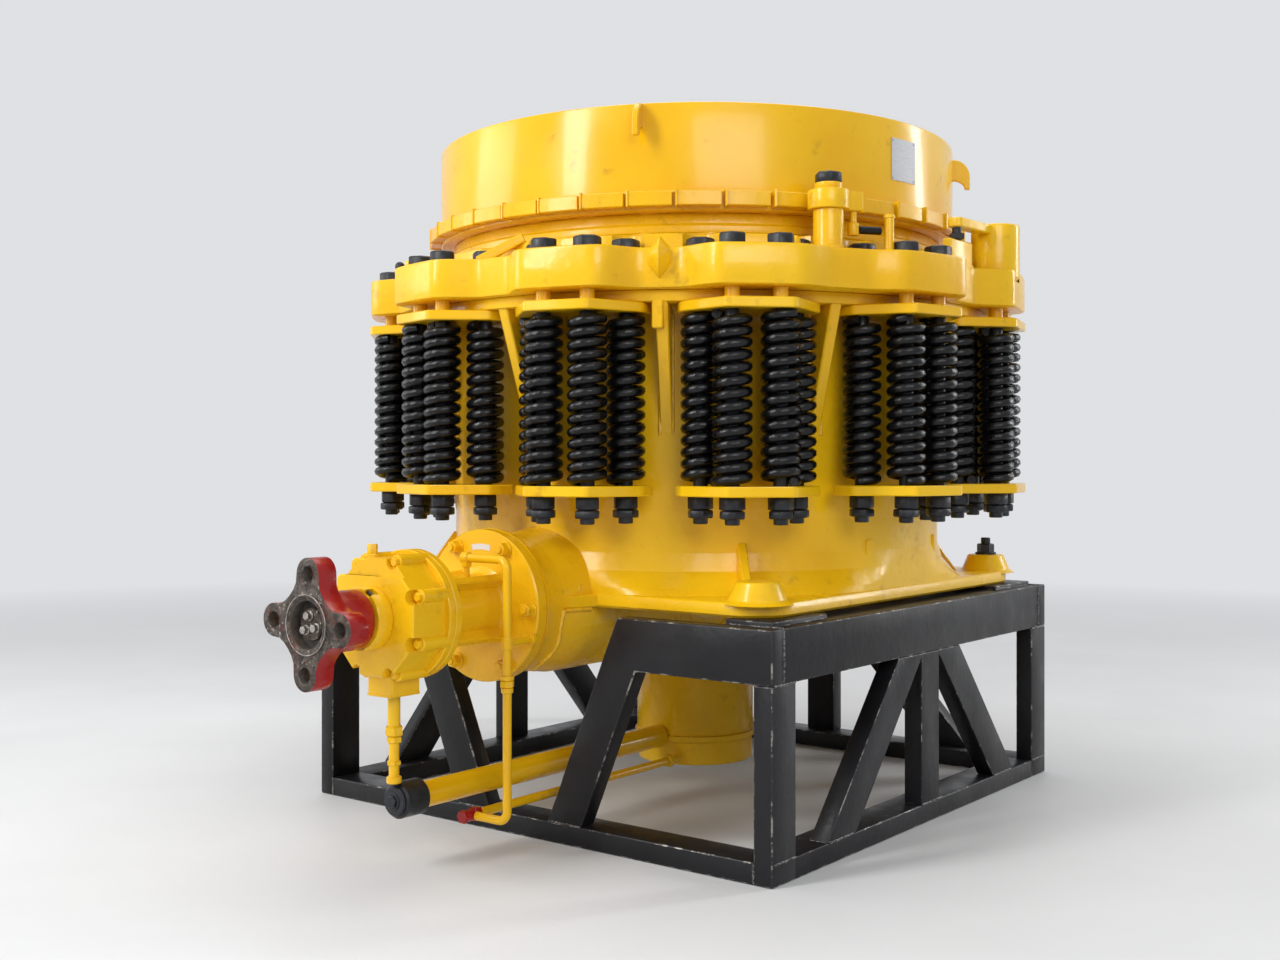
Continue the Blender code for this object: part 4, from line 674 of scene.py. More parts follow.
def spring_packs():
    """Twelve packs: plates with sleeves, four coils, and the bolts with their nuts."""
    corners = [(0.735, -0.172), (0.810, -0.172), (LOBE_RADIUS, -0.083)]
    corners += [(x, -y) for x, y in reversed(corners)]
    outline = filleted(corners, [0.015, 0.03, 0.02, 0.02, 0.03, 0.015], steps=5)
    steps = SPRING_TURNS * 20
    foot_z = PLATE_LOW_TOP + SPRING_WIRE * 0.8
    rise = PLATE_UP - PLATE_LOW_TOP - SPRING_WIRE * 1.6
    for number, angle in enumerate(GROUP_ANGLES, 1):
        round_axis = turned_to(angle)
        plates, coils, bolts = Shape(SHEET), Shape(SPRING), Shape(BOLT)
        for low, high in ((PLATE_LOW, PLATE_LOW_TOP), (PLATE_UP, PLATE_UP_TOP)):
            plates.prism(outline, low, high, round_axis, edge=0.0025)
        for radius, aside in PACK_BOLTS:
            foot = round_axis @ at(radius, aside, 0)
            twist = random.uniform(0, tau)
            path = []
            for step in range(steps + 1):
                share = step / steps
                closed = 0.5 - 0.5 * cos(pi * min(max((share - 0.02) / 0.96, 0), 1))
                turn = twist + tau * SPRING_TURNS * share
                z = foot_z + rise * (0.93 * share + 0.07 * closed)
                path.append((SPRING_RADIUS * cos(turn), SPRING_RADIUS * sin(turn), z))
            coils.tube(path, SPRING_WIRE, 8, place=foot)
            if radius == OUTER_BOLT_RADIUS:
                sleeve = (0, 0, PLATE_UP_TOP - 0.004), (0, 0, RING_LOW - 0.0006)
                plates.rod(*sleeve, 0.0185, 24, place=foot)
            shank = (0, 0, PLATE_LOW - 0.066), (0, 0, PLATE_UP)
            bolts.rod(*shank, 0.018, 14, edge=0.002, place=foot)
            first, second = random.uniform(0, 60), random.uniform(0, 60)
            nuts = foot @ at(0, 0, PLATE_LOW)
            nut = {"bottom": True, "turn": first, "chamfer": 0.06}
            bolts.hexagon(nuts @ at(0, 0, -0.031), 0.054, 0.031, **nut)
            lock_nut = {"bottom": True, "turn": second, "chamfer": 0.08}
            bolts.hexagon(nuts @ at(0, 0, -0.052), 0.055, 0.020, **lock_nut)
        node = f"spring_pack_{number:02d}"
        plates.yellow(f"spring_plates_{number:02d}", node, angle=28)
        coils.show(f"springs_{number:02d}", "frame", [node], "black_paint", angle=60)
        steel = {"bevel": 0.0008, "segments": 1, "angle": 25}
        bolts.show(f"spring_bolts_{number:02d}", "frame", [node], "black_paint", **steel)


def ring_bolts():
    """Heads on the ring. The clamping cylinder stands where one outer bolt would be."""
    heads = Shape(BOLT)
    for angle in GROUP_ANGLES:
        for radius, aside in PACK_BOLTS:
            place = turned_to(angle) @ at(radius, aside, RING_TOP - 0.001)
            if (place.translation - on_axis(*CYLINDER, RING_TOP)).length > 0.02:
                heads.hexagon(place, 0.060, 0.029, turn=random.uniform(0, 60), chamfer=0.10)
    heads.show("ring_bolt_heads", "frame", slot="black_paint", bevel=0.0012, segments=1, angle=25)


def lobe_radius(angle):
    """Outer radius of the ring, with a lobe over each spring pack."""
    off = abs((angle - GROUP_ANGLES[0] + GROUP_STEP / 2) % GROUP_STEP - GROUP_STEP / 2)
    valley = 0.905 if abs(angle - POST[0]) < GROUP_STEP / 2 else 0.862
    share = min(max((off - 5.5) / 7.0, 0), 1)
    smooth = share * share * (3 - 2 * share)
    return LOBE_RADIUS + (valley - LOBE_RADIUS) * smooth


def collar_radius(angle):
    """Outer radius of the collar, scalloped round the heads of the inner bolts."""
    nearest = COLLAR_RADIUS
    for group in GROUP_ANGLES:
        for aside in (-INNER_BOLT_ANGLE, INNER_BOLT_ANGLE):
            off = radians((angle - group - aside + 180) % 360 - 180)
            across = INNER_BOLT_RADIUS * sin(off)
            if abs(across) < SCALLOP_RADIUS and cos(off) > 0:
                depth = sqrt(SCALLOP_RADIUS**2 - across**2)
                nearest = min(nearest, INNER_BOLT_RADIUS * cos(off) - depth)
    return nearest


def adjustment_ring():
    """The lobed ring with rounded edges, its collar, its lugs, the ramp bar and the bracket."""
    ring = Shape(CASTING, WELD)
    angles = [-180 + 0.75 * (step + 0.5) for step in range(480)]

    def around(radius_at, levels):
        return [[tuple(on_axis(a, radius_at(a) - back, z)) for a in angles] for back, z in levels]

    def bore(levels):
        return [[tuple(on_axis(a, radius, z)) for a in angles] for radius, z in levels]

    edge = 0.007
    levels = [(edge, RING_LOW), (edge * 0.3, RING_LOW + edge * 0.3), (0.0, RING_LOW + edge)]
    levels += [(0.0, RING_TOP - edge), (edge * 0.3, RING_TOP - edge * 0.3), (edge, RING_TOP)]
    inner = bore([(RING_BORE, RING_TOP), (RING_BORE, RING_LOW)])
    ring.loft(around(lobe_radius, levels) + inner, capped=False)
    seat = on_axis(*CYLINDER, RING_TOP - 0.0297)
    ring.cut(Shape(CASTING).rod(seat, seat + Vector((0, 0, 0.2)), 0.0638, 96))
    levels = [(-0.004, RING_TOP - 0.004), (-0.001, RING_TOP + 0.001), (0.0, RING_TOP + 0.005)]
    levels += [(0.0, COLLAR_TOP - 0.007), (0.002, COLLAR_TOP - 0.002), (0.007, COLLAR_TOP)]
    inner = [(COLLAR_BORE + 0.0025, COLLAR_TOP), (COLLAR_BORE, COLLAR_TOP - 0.0025)]
    inner.append((COLLAR_BORE, RING_TOP - 0.004))
    ring.loft(around(collar_radius, levels) + bore(inner), capped=False)
    ridge = [(0.0, -0.028), (0.022, -0.028), (0.053, 0.0), (0.022, 0.028), (0.0, 0.028)]
    lug = filleted(ridge, [0, 0.006, 0.003, 0.006, 0], steps=3, closed=False)[1:-1]
    for angle in (-120, -60, 60, 120, 180):
        ring.lathe(lug, turned_to(angle, 0.845, RING_TOP - 0.0265) @ TIPPED, 56)
    foot, head = on_axis(-93.9, 0.856, RING_TOP - 0.006), on_axis(-88, 0.778, RING_TOP + 0.056)
    along = head - foot
    place = at(*foot) @ along.to_track_quat("Z", "Y").to_matrix().to_4x4()
    bar = filleted(rectangle(-0.012, 0.012, -0.012, 0.012), 0.003)
    ring.prism(bar, 0, along.length, place, edge=0.002)
    bracket = turned_to(-1.5, 0.847)
    outline = filleted(rectangle(-0.013, 0.013, -0.06, 0.06), 0.004)
    ring.prism(outline, RING_TOP - 0.006, RING_TOP + 0.0625, bracket, edge=0.003)
    for side in (-1, 1):
        seam = [bracket @ Vector((0.013 - 0.002 * s, side * 0.0605, RING_TOP)) for s in range(13)]
        ring.bead(seam, 0.005, slot=1, rough=0.5)
    ring.yellow("adjustment_ring_casting", "adjustment_ring")


# Outer line of the main frame's shell, from its top down
SHELL_LINE = [
    (SHELL_RADIUS + 0.012, FRAME_TOP - 0.028),
    (SHELL_RADIUS, FRAME_TOP - 0.05),
    (SHELL_RADIUS, 1.0),
    (WAIST_RADIUS, 0.80),
    (WAIST_RADIUS, FLANGE_TOP + 0.10),
    (WAIST_RADIUS + 0.012, FLANGE_TOP + 0.055),
    (WAIST_RADIUS + 0.045, FLANGE_TOP + 0.016),
    (WAIST_RADIUS + 0.08, FLANGE_TOP - 0.016),
]


def wall_radius(z):
    """Outer radius of the main frame's shell at a height."""
    for (upper, top), (lower, low) in zip(SHELL_LINE, SHELL_LINE[1:]):
        if low <= z <= top:
            return lower + (upper - lower) * (z - low) / (top - low)
    return SHELL_LINE[-1][0]


def shell_and_base(body):
    """The flared shell, which the base's width cuts off near its foot, and the square base."""
    profile = [(0.835, FRAME_TOP), (0.835, FRAME_TOP - 0.028), *SHELL_LINE]
    profile += [(WAIST_RADIUS + 0.08, FLANGE_LOW + 0.008), (FRAME_BORE, FLANGE_LOW + 0.008)]
    profile += [(FRAME_BORE, 0.80), (0.675, 0.90), (0.675, FRAME_TOP)]
    limit = FLANGE_HALF - 0.004
    levels = []
    for radius, z in filleted(profile, 0.004, steps=2):
        loop = circle(radius, 144)
        if z < FLANGE_TOP + 0.1:
            loop = [(max(min(x, limit), -limit), max(min(y, limit), -limit)) for x, y in loop]
        levels.append((loop, z))
    body.stack(levels, capped=False)

    outer = resampled(filleted(square(FLANGE_HALF, 0.07), 0.05), 192)
    inner = [plan(degrees(atan2(y, x)), FRAME_BORE + 0.001) for x, y in outer]
    edge = 0.006
    sections = [
        (inset(outer, edge), FLANGE_LOW),
        (outer, FLANGE_LOW + edge),
        (outer, FLANGE_TOP - edge),
        (inset(outer, edge * 0.4), FLANGE_TOP - edge * 0.3),
        (inset(outer, edge), FLANGE_TOP),
        (inner, FLANGE_TOP),
        (inner, FLANGE_LOW),
    ]
    body.stack(sections, capped=False)


def gussets_and_bosses(body):
    """Webs below the top flange and above the base, the base's bosses, and the far one's bolt."""
    top = FRAME_TOP - 0.02
    for step in range(12):
        angle = -180 + GROUP_STEP * step
        body.web([(0.70, 1.0), (0.714, 1.0), (0.831, top), (0.70, top)], 0.015, angle)
        for side in (-1, 1):
            lean = [turned_to(angle, 0.721, 1.01 + 0.012 * s) for s in range(26)]
            seam = [place @ Vector((0, side * 0.016, 0)) for place in lean]
            body.bead(seam, 0.0045, slot=1, rough=0.4)
    pad = filleted(rectangle(0.80, 0.834, FRAME_TOP - 0.092, top), 0.006)
    body.web(pad, 0.0135, -60.6)
    foot, top = FLANGE_TOP - 0.006, FLANGE_TOP + 0.125
    for angle in (-45, -15, 15, 45, 75, 105, 135, 165, -165, -135):
        turn = radians(angle)
        far = min(0.80, FLANGE_HALF / max(abs(cos(turn)), abs(sin(turn))) - 0.02)
        body.web([(0.68, foot), (far, foot), (0.706, top), (0.68, top)], 0.011, angle)
    top = FLANGE_TOP + 0.047
    boss = [(0.085, foot), (0.070, FLANGE_TOP + 0.003), (0.052, top), (0.0, top)]
    boss = filleted(boss, 0.008, 3, False)[:-1]
    for x in (-BOSS_PLACE, BOSS_PLACE):
        for y in (-BOSS_PLACE, BOSS_PLACE):
            body.lathe(boss, at(x, y, 0), 48)
    far_boss = at(BOSS_PLACE, BOSS_PLACE, top)
    washer = [(0.030, 0.0), (0.031, 0.001), (0.031, 0.005), (0.030, 0.006)]
    body.lathe(washer, far_boss, 32, 2)
    body.hexagon(far_boss @ at(0, 0, 0.006), 0.044, 0.026, slot=2, turn=20)
    stud = (BOSS_PLACE, BOSS_PLACE, top), (BOSS_PLACE, BOSS_PLACE, top + 0.05)
    body.rod(*stud, 0.014, 20, slot=2, edge=0.002)


def nozzle_and_seams(body):
    """The nozzle, its bead along the shell, and the ledge and the ragged seam on both sides."""
    rim = -RIM_FACE
    nozzle = [(0.186, 0.60), (0.186, 0.69), (NOZZLE_RADIUS, 0.79), (NOZZLE_RADIUS, rim - 0.025)]
    nozzle += [(0.186, rim - 0.013), (0.188, rim)]
    body.lathe(filleted(nozzle, 0.003, closed=False), drive_frame(0))
    wall = []
    for x, z in arc(-6, 1.6, 121, NOZZLE_RADIUS + 0.003, (0, SHAFT_Z)):
        if z > FLANGE_TOP:
            wall.append((x, -sqrt(wall_radius(z) ** 2 - x**2) - 0.002, z))
    body.bead(wall, 0.008, slot=1, rough=0.4)
    size = NOZZLE_RADIUS + 0.001
    for side in (-1, 1):
        ring = []
        for t in [radians(-3 - 3.5 * step) for step in range(26)]:
            y = -0.79 + 0.006 * sin(7 * t) + 0.09 * max(-t - 0.9, 0)
            ring.append((side * size * cos(t), y, SHAFT_Z + size * sin(t)))
        body.bead(ring, 0.006, slot=1, rough=0.6)
        ledge = [(0.155, -0.784), (0.176, -0.778), (0.205, -0.695), (0.155, -0.695)]
        ledge = [(side * x, y) for x, y in ledge]
        body.prism(ledge, FLANGE_LOW + 0.001, FLANGE_TOP - 0.003, edge=0.003)
        low = FLANGE_LOW - 0.003
        seam = [(side * (0.174 + 0.001 * s), -0.79 + 0.006 * s, low) for s in range(15)]
        body.bead(seam, 0.006, slot=1, rough=0.6)


def main_frame():
    """The frame casting as one piece, and its hub."""
    body = Shape(CASTING, WELD, BOLT)
    shell_and_base(body)
    gussets_and_bosses(body)
    nozzle_and_seams(body)
    body.yellow("main_frame_casting", "main_frame")
    Shape(CASTING).take_node("frame_hub").yellow("frame_hub_casting", "frame_hub", bevel=0.005)


def bowl_and_cap():
    """The bowl's banded skirt, the cap with its teeth and hooks, and the feed hopper."""
    foot = RING_TOP + GAP
    bands = [
        (0.600, BOWL_TOP),
        (0.706, BOWL_TOP),
        (0.706, BOWL_TOP - 0.026),
        (0.714, BOWL_TOP - 0.032),
        (0.714, COLLAR_TOP + 0.012),
        (0.711, COLLAR_TOP + 0.009),
        (0.711, foot),
        (0.600, foot),
    ]
    skirt = Shape(CASTING).lathe(filleted(bands, 0.003, steps=2), sides=192, capped=False)
    skirt.show("bowl_skirt", "bowl_turn", slot="yellow_paint", angle=30)
    finish_node("bowl", CASTING)

    cap = Shape(SHEET, CASTING, WELD)
    outline = [
        (CAP_RADIUS, CAP_TOP),
        (CAP_RADIUS, CAP_LOW + 0.002),
        (CAP_RADIUS - 0.004, CAP_LOW),
        (0.60, CAP_LOW),
        (0.60, CAP_LOW + 0.03),
        (CAP_INSIDE, CAP_LOW + 0.03),
        (CAP_INSIDE, CAP_TOP - 0.080),
        (0.685, CAP_TOP - 0.068),
        (0.685, CAP_TOP - 0.056),
        (CAP_INSIDE, CAP_TOP - 0.056),
        (CAP_INSIDE, CAP_TOP),
    ]
    cap.lathe(filleted(outline, 0.004, steps=3), sides=240, capped=False)
    for index in range(TEETH):
        start = -58 + index * 360 / TEETH
        spots = [(start + 0.35 + 2.0 * s, 0.001 * s) for s in range(5)]
        tooth = [plan(angle, 0.7740 - drop) for angle, drop in spots]
        tooth += [plan(angle, CAP_RADIUS - 0.006) for angle, drop in reversed(spots)]
        cap.prism(tooth, TEETH_LOW, TEETH_TOP, slot=1, edge=0.0022)
        rib = [(0.05, 0.7765), (0.40, 0.7772), (0.40, 0.737), (0.05, 0.737)]
        rib = [plan(start + off, radius) for off, radius in rib]
        cap.prism(rib, TEETH_LOW - 0.002, TEETH_TOP + 0.004, slot=1, edge=0.0012)
    seam = [tuple(on_axis(a * 1.5, CAP_RADIUS + 0.001, TEETH_TOP + 0.0015)) for a in range(241)]
    cap.bead(seam, 0.0035, slot=2, rough=0.5)
    for angle, below_rim in ((-65, 0.001), (25, 0.022), (115, 0.001), (-155, 0.022)):
        cap.web(hook_outline(CAP_TOP - below_rim), 0.0085, angle, slot=1)
    cap.show("adjustment_cap_shell", "bowl_turn", ["adjustment_cap"], "yellow_paint", angle=30)
    low = CAP_TOP - 0.0557
    outline = [(0.713, low + 0.014), (0.713, low), (0.679, low)]
    outline += [(0.474, 1.535), (0.46, 1.535), (0.665, low + 0.014)]
    hopper = Shape(SHEET).lathe(filleted(outline, 0.004, steps=2), sides=160, capped=False)
    hopper.show("feed_hopper_plate", "bowl_turn", ["feed_hopper"], "yellow_paint", angle=30)


def hook_outline(top):
    """A quarter-round hook whose tip turns down, from the cap's wall outwards."""
    low = top - HOOK_DROP
    outer, inner = [], []
    for step in range(11):
        turn = radians(90 - 9 * step)
        across = CAP_RADIUS + HOOK_REACH * cos(turn)
        outer.append((across, top - HOOK_DROP * 0.6 * (1 - sin(turn))))
    for step in range(8):
        turn = radians(12 * step)
        across = CAP_RADIUS + HOOK_REACH * 0.7 * cos(turn)
        inner.append((across, low + HOOK_DROP * 0.3 * sin(turn)))
    root = CAP_RADIUS - 0.012
    tip, back = (CAP_RADIUS + HOOK_REACH, low), (root, low + HOOK_DROP * 0.26)
    return [(root, top), *outer, tip, *inner, back]


def nameplate():
    """A blank curved plate with four rivets on the cap's wall."""
    plate = Shape(PLATE)
    half, low, high = 3.9, 1.665, 1.773
    angles = [PLATE_ANGLE - half + 2 * half * s / 12 for s in range(13)]
    outline = [plan(a, CAP_RADIUS - 0.001) for a in angles]
    outline += [plan(a, CAP_RADIUS + 0.0022) for a in reversed(angles)]
    plate.prism(outline, low, high)
    for side in (-1, 1):
        for z in (low + 0.006, high - 0.006):
            centre = on_axis(PLATE_ANGLE + side * (half - 0.5), CAP_RADIUS + 0.0015, z)
            plate.rod(centre, centre + on_axis(PLATE_ANGLE, 0.0028), 0.0028, 12, edge=0.0008)
    plate.show("blank_nameplate", "bowl_turn", angle=40)


def post_pieces():
    """Locking post with its nut, pawl and stop post."""
    foot = at(*on_axis(*POST))
    profile = [(0.045, RING_TOP + GAP), (0.040, RING_TOP + 0.005), (0.037, RING_TOP + 0.012)]
    profile += [(0.037, 1.548), (0.028, 1.548), (0.028, 1.590), (0.033, 1.600), (0.033, POST_TOP)]
    post = Shape(CASTING, BOLT).lathe(profile, foot, 64)
    post.hexagon(foot @ at(0, 0, POST_TOP), 0.059, 0.026, slot=1, turn=12)
    post.yellow("locking_post_turned", "locking_post", angle=32, bevel=0.001, segments=1)
    pawl = Shape(CASTING).take_node("locking_pawl")
    cast = {"bevel": 0.003, "angle": 40}
    pawl.show("locking_pawl_casting", "pawl", ["locking_pawl"], "yellow_paint", **cast)
    finish_node("pawl_rod", SPRING)
    profile = [(0.012, RING_TOP + GAP), (0.012, 1.534), (0.0145, 1.5355)]
    profile += [(0.0145, 1.5405), (0.012, 1.544), (0.006, 1.5448)]
    stop = Shape(CASTING).lathe(profile, at(*on_axis(*STOP)), 24)
    stop.yellow("stop_post_turned", "stop_post", angle=32)


def clamping_cylinder():
    """The cylinder with its arm, and the pin under the arm's end."""
    barrel = Shape(CASTING, BOLT)
    place = on_axis(*CYLINDER)
    low, top = RING_TOP - 0.0294, RING_TOP + 0.1225
    profile = [(0.0515, low), (0.0635, low + 0.012), (0.0635, top), (0.0, top)]
    barrel.lathe(filleted(profile, 0.006, closed=False)[:-1], at(*place))
    along = on_axis(*CYLINDER_PIN) - place
    facing = at(*place) @ Matrix.Rotation(atan2(along.y, along.x), 4, "Z")
    arm = filleted(rectangle(0, along.length + 0.02, -0.02, 0.02), [0, 0.012, 0.012, 0])
    barrel.prism(arm, top - 0.028, top - 0.004, facing, edge=0.003)
    end = at(*on_axis(*CYLINDER_PIN))
    barrel.rod((0, 0, RING_TOP + 0.063), (0, 0, top - 0.03), 0.012, 20, slot=1, place=end)
    nut = end @ at(0, 0, RING_TOP + 0.0632)
    barrel.hexagon(nut, 0.034, 0.016, slot=1, turn=10, bottom=True)
    barrel.yellow("clamping_cylinder_turned", "clamping_cylinder", angle=32)


def ring_pegs():
    """A peg, a valve knob and a stub on the ring's top."""
    pegs = Shape(CASTING, BOLT)
    peg = at(*on_axis(-110, 0.905, RING_TOP - 0.001))
    pegs.lathe([(0.012, 0.0), (0.012, 0.014), (0.010, 0.0185), (0.004, 0.0195)], peg, 24)
    knob = at(*on_axis(-131, 0.86, RING_TOP))
    pegs.hexagon(knob, 0.030, 0.014, slot=1)
    block = filleted(rectangle(-0.016, 0.016, -0.012, 0.012), 0.003)
    pegs.prism(block, 0.014, 0.034, knob, edge=0.002)
    pegs.lathe(arc(-80, 20, 9, 0.014, (0.0, 0.046)), knob, 24, slot=1)
    stub = turned_to(-38, 0.842, RING_TOP)
    pegs.lathe([(0.017, -0.002), (0.015, 0.012), (0.012, 0.024), (0.007, 0.031)], stub, 14)
    pegs.show("ring_pegs", "frame", slot="yellow_paint", angle=40)


def countershaft_housing():
    """Bolted disc, ribbed neck and back rim, with a blank label beside the upper bolts."""
    disc = Shape(CASTING, WELD, LABEL)
    face = drive_frame(DISC_FACE)
    plate = [(0.184, GAP), (0.187, 0.003), (0.187, DISC_THICK - 0.004), (0.1835, DISC_THICK)]
    disc.lathe(plate, drive_frame(RIM_FACE), 128)
    long = DISC_FACE - JOINT
    neck = filleted([(0.100, -0.002), (0.080, 0.010), (0.080, long)], 0.01, closed=False)
    disc.lathe(neck, face, 64)
    rim = [(0.147, 0), (0.150, 0.003), (0.150, JOINT_RIM - 0.0025), (0.1475, JOINT_RIM)]
    disc.lathe(rim, drive_frame(JOINT + JOINT_RIM))
    rib = [(0.07, -0.002), (0.112, -0.002), (0.107, long * 0.2)]
    rib += [(0.107, long * 0.85), (0.112, long), (0.07, long)]
    rib = filleted(rib, [0, 0, 0.03, 0.03, 0, 0])
    for angle in (45, 135, 225, 315):
        disc.prism(rib, -0.0105, 0.0105, face @ turn_z(angle) @ TIPPED, edge=0.0035)
    for x, y in circle(0.163, 6):
        turn = random.uniform(0, 60)
        disc.bolt(face @ at(x, y, 0), 0.029, 0.019, washer=0.0205, turn=turn)
        disc.rod((x, y, 0.020), (x, y, 0.0285), 0.009, edge=0.001, place=face)
    label = arc(78, 2, 13, 0.152) + arc(78, 2, 13, 0.138)[::-1]
    disc.prism(label, -0.0005, 0.0009, face, slot=2)
    disc.yellow("countershaft_housing_casting", "countershaft_housing")


def end_housing():
    """Octagonal housing with bolt ribs down its corners, filler boss, plug and sump."""
    housing = Shape(CASTING)
    long = JOINT - END_FACE
    place = drive_frame(JOINT)

    def block(outline, back, front, edge=0.004):
        housing.prism(outline, back, front, place, edge=edge)

    block(filleted(circle(0.134 / cos(pi / 8), 8, start=22.5), 0.012), GAP, long)
    step = Shape(CASTING).prism(rectangle(-0.3, 0.3, 0.094, 0.3), long - 0.012, long + 0.1, place)
    spots = []
    corners = circle(0.1375, 8, start=22.5)
    for x, y in corners:
        ends = (x, y, long - 0.026), (x, y, long + 0.1)
        spots.append(Shape(CASTING).rod(*ends, 0.0172, 32, place=place))
    housing.cut(step, *spots)
    for x, y in corners:
        housing.rod((x, y, 0.004), (x, y, long - 0.0262), 0.0162, 24, place=place, edge=0.002)
        head = place @ at(x, y, long - 0.0265)
        housing.bolt(head, 0.0185, 0.010, turn=random.uniform(0, 60))
    rim = [(0.147, 0.0006), (0.150, 0.0035), (0.150, JOINT_RIM - 0.0025), (0.1475, JOINT_RIM)]
    housing.lathe(rim, place)
    shoulder = filleted(rectangle(-0.124, 0.02, 0.0, 0.094), [0.004, 0, 0.004, 0.016])
    block(shoulder, long - 0.09, long - 0.0008)
    filler = filleted(rectangle(-0.087, 0.03, 0.0, 0.132), [0, 0, 0.01, 0.014])
    block(filler, long - 0.102, long - 0.0128)
    plug = at(-0.045, END_FACE + 0.042, SHAFT_Z + 0.132)
    neck = [(0.0195, -0.004), (0.0185, 0.002), (0.018, 0.0075), (0.0165, 0.009)]
    housing.lathe(neck, plug, 32)
    housing.hexagon(plug @ at(0, 0, 0.009), 0.0215, 0.0225, chamfer=0.16)
    front = long - 0.023
    block(filleted(rectangle(-0.0415, 0.0415, SUMP_LOW, -0.128), 0.004), front - 0.088, front)
    foot = filleted(rectangle(-0.0405, 0.0405, SUMP_LOW, SUMP_LOW + 0.006), 0.002)
    block(foot, front - 0.0885, front + 0.0015, edge=0.0015)
    housing.yellow("end_housing_casting", "end_housing")


def seal_collar():
    """The collar on the shaft: two notches with a pin in each, and small bolts beside them."""
    collar = Shape(CASTING, BOLT)
    thick = END_FACE - COLLAR_FACE
    face = drive_frame(END_FACE)
    profile = [(0.0705, GAP), (0.072, 0.002), (0.072, thick - 0.004)]
    profile += [(0.069, thick), (0.0475, thick), (0.0475, GAP)]
    collar.lathe(profile, face, capped=False)
    notches = [face @ turn_z(angle) for angle in (62, 277)]
    gap = rectangle(0.060, 0.09, -0.012, 0.012)
    low, high = thick * 0.45, thick + 0.01
    collar.cut(*[Shape(CASTING).prism(gap, low, high, notch) for notch in notches])
    for angle in (48, 76, 263, 291):
        x, y = plan(angle, 0.0625)
        collar.bolt(face @ at(x, y, thick - 0.0045), 0.0105, 0.004, turn=angle)
    for notch in notches:
        pin = (0.064, -0.0125, thick * 0.72), (0.064, 0.0125, thick * 0.72)
        collar.rod(*pin, 0.0042, 14, slot=1, place=notch)
    collar.yellow("seal_collar_turned", "seal_collar")


def drive_coupling():
    """Four-lobed coupling half with a worn face, four through holes and a ring round its bore."""
    part = Shape(RED, FACE, STEEL, BOLT, IRON)
    low, thick = 0.003, 0.049
    lobe, tip, pitch = 0.037, 0.146, 0.110
    out = drive_frame(COUPLING_FACE)
    into = out @ turn_z(-2.6) @ Matrix.Rotation(pi, 4, "X")
    line = arc(-90, 10, 19, lobe, (tip - lobe, 0.0))
    line += [(0.088, 0.0385), (0.073, 0.046), (0.0585, 0.0585), (0.046, 0.073), (0.0385, 0.088)]
    outline = []
    holes = [circle(0.055, 64)]
    for quarter in range(4):
        turn = Matrix.Rotation(radians(90 * quarter), 2)
        outline += [tuple(turn @ Vector(point)) for point in line]
        holes.append(circle(0.018, 32, tuple(turn @ Vector((pitch, 0)))))
    part.pierced(outline, holes, low, low + thick, into, slots=(0, 1, 4))
    ring = [(0.0548, 0.0035), (0.0575, 0.0018), (0.0625, 0.0008), (0.0675, 0.0008)]
    ring += [(0.069, 0.002), (0.069, 0.006), (0.0548, 0.006)]
    part.lathe(ring, into, 96, slot=1, capped=False)
    bright = [(0.0642, 0.0012), (0.0648, 0.0001), (0.0662, 0.0001), (0.0668, 0.0012)]
    part.lathe(bright, into, 96, slot=2, capped=False)
    sleeve = [(0.0560, 0.004), (0.0560, 0.034), (0.0535, 0.034), (0.0535, 0.004)]
    part.lathe(sleeve, into, 64, slot=4, capped=False)
    part.lathe([(0.0555, 0.030), (0.0555, 0.0345)], into, 64, slot=4)
    part.lathe([(0.034, 0.017), (0.036, 0.019), (0.036, 0.031)], into, 48, slot=1)
    for x, y in arc(100, 120, 3, 0.0195):
        turn = random.uniform(0, 60)
        part.bolt(out @ at(x, y, -0.0175), 0.0165, 0.010, slot=2, washer=0.0115, turn=turn)
    rim = [(0.0178, low + 0.0005), (0.0192, low - 0.0006), (0.0202, low + 0.001)]
    for x, y in circle(pitch, 4):
        part.lathe(rim, into @ at(x, y, 0), 32, slot=1, capped=False)
    hub = HUB_END - COUPLING_FACE
    outline = [(0.068, thick - 0.004), (0.068, hub - 0.005), (0.0635, hub)]
    outline += [(0.046, hub), (0.046, thick - 0.004)]
    part.lathe(outline, into, 96, capped=False)
    cast = {"bevel": 0.0022, "angle": 35}
    part.show("drive_coupling_half", "drive", ["drive_coupling"], "red_paint", **cast)
    finish_node("countershaft", STEEL)


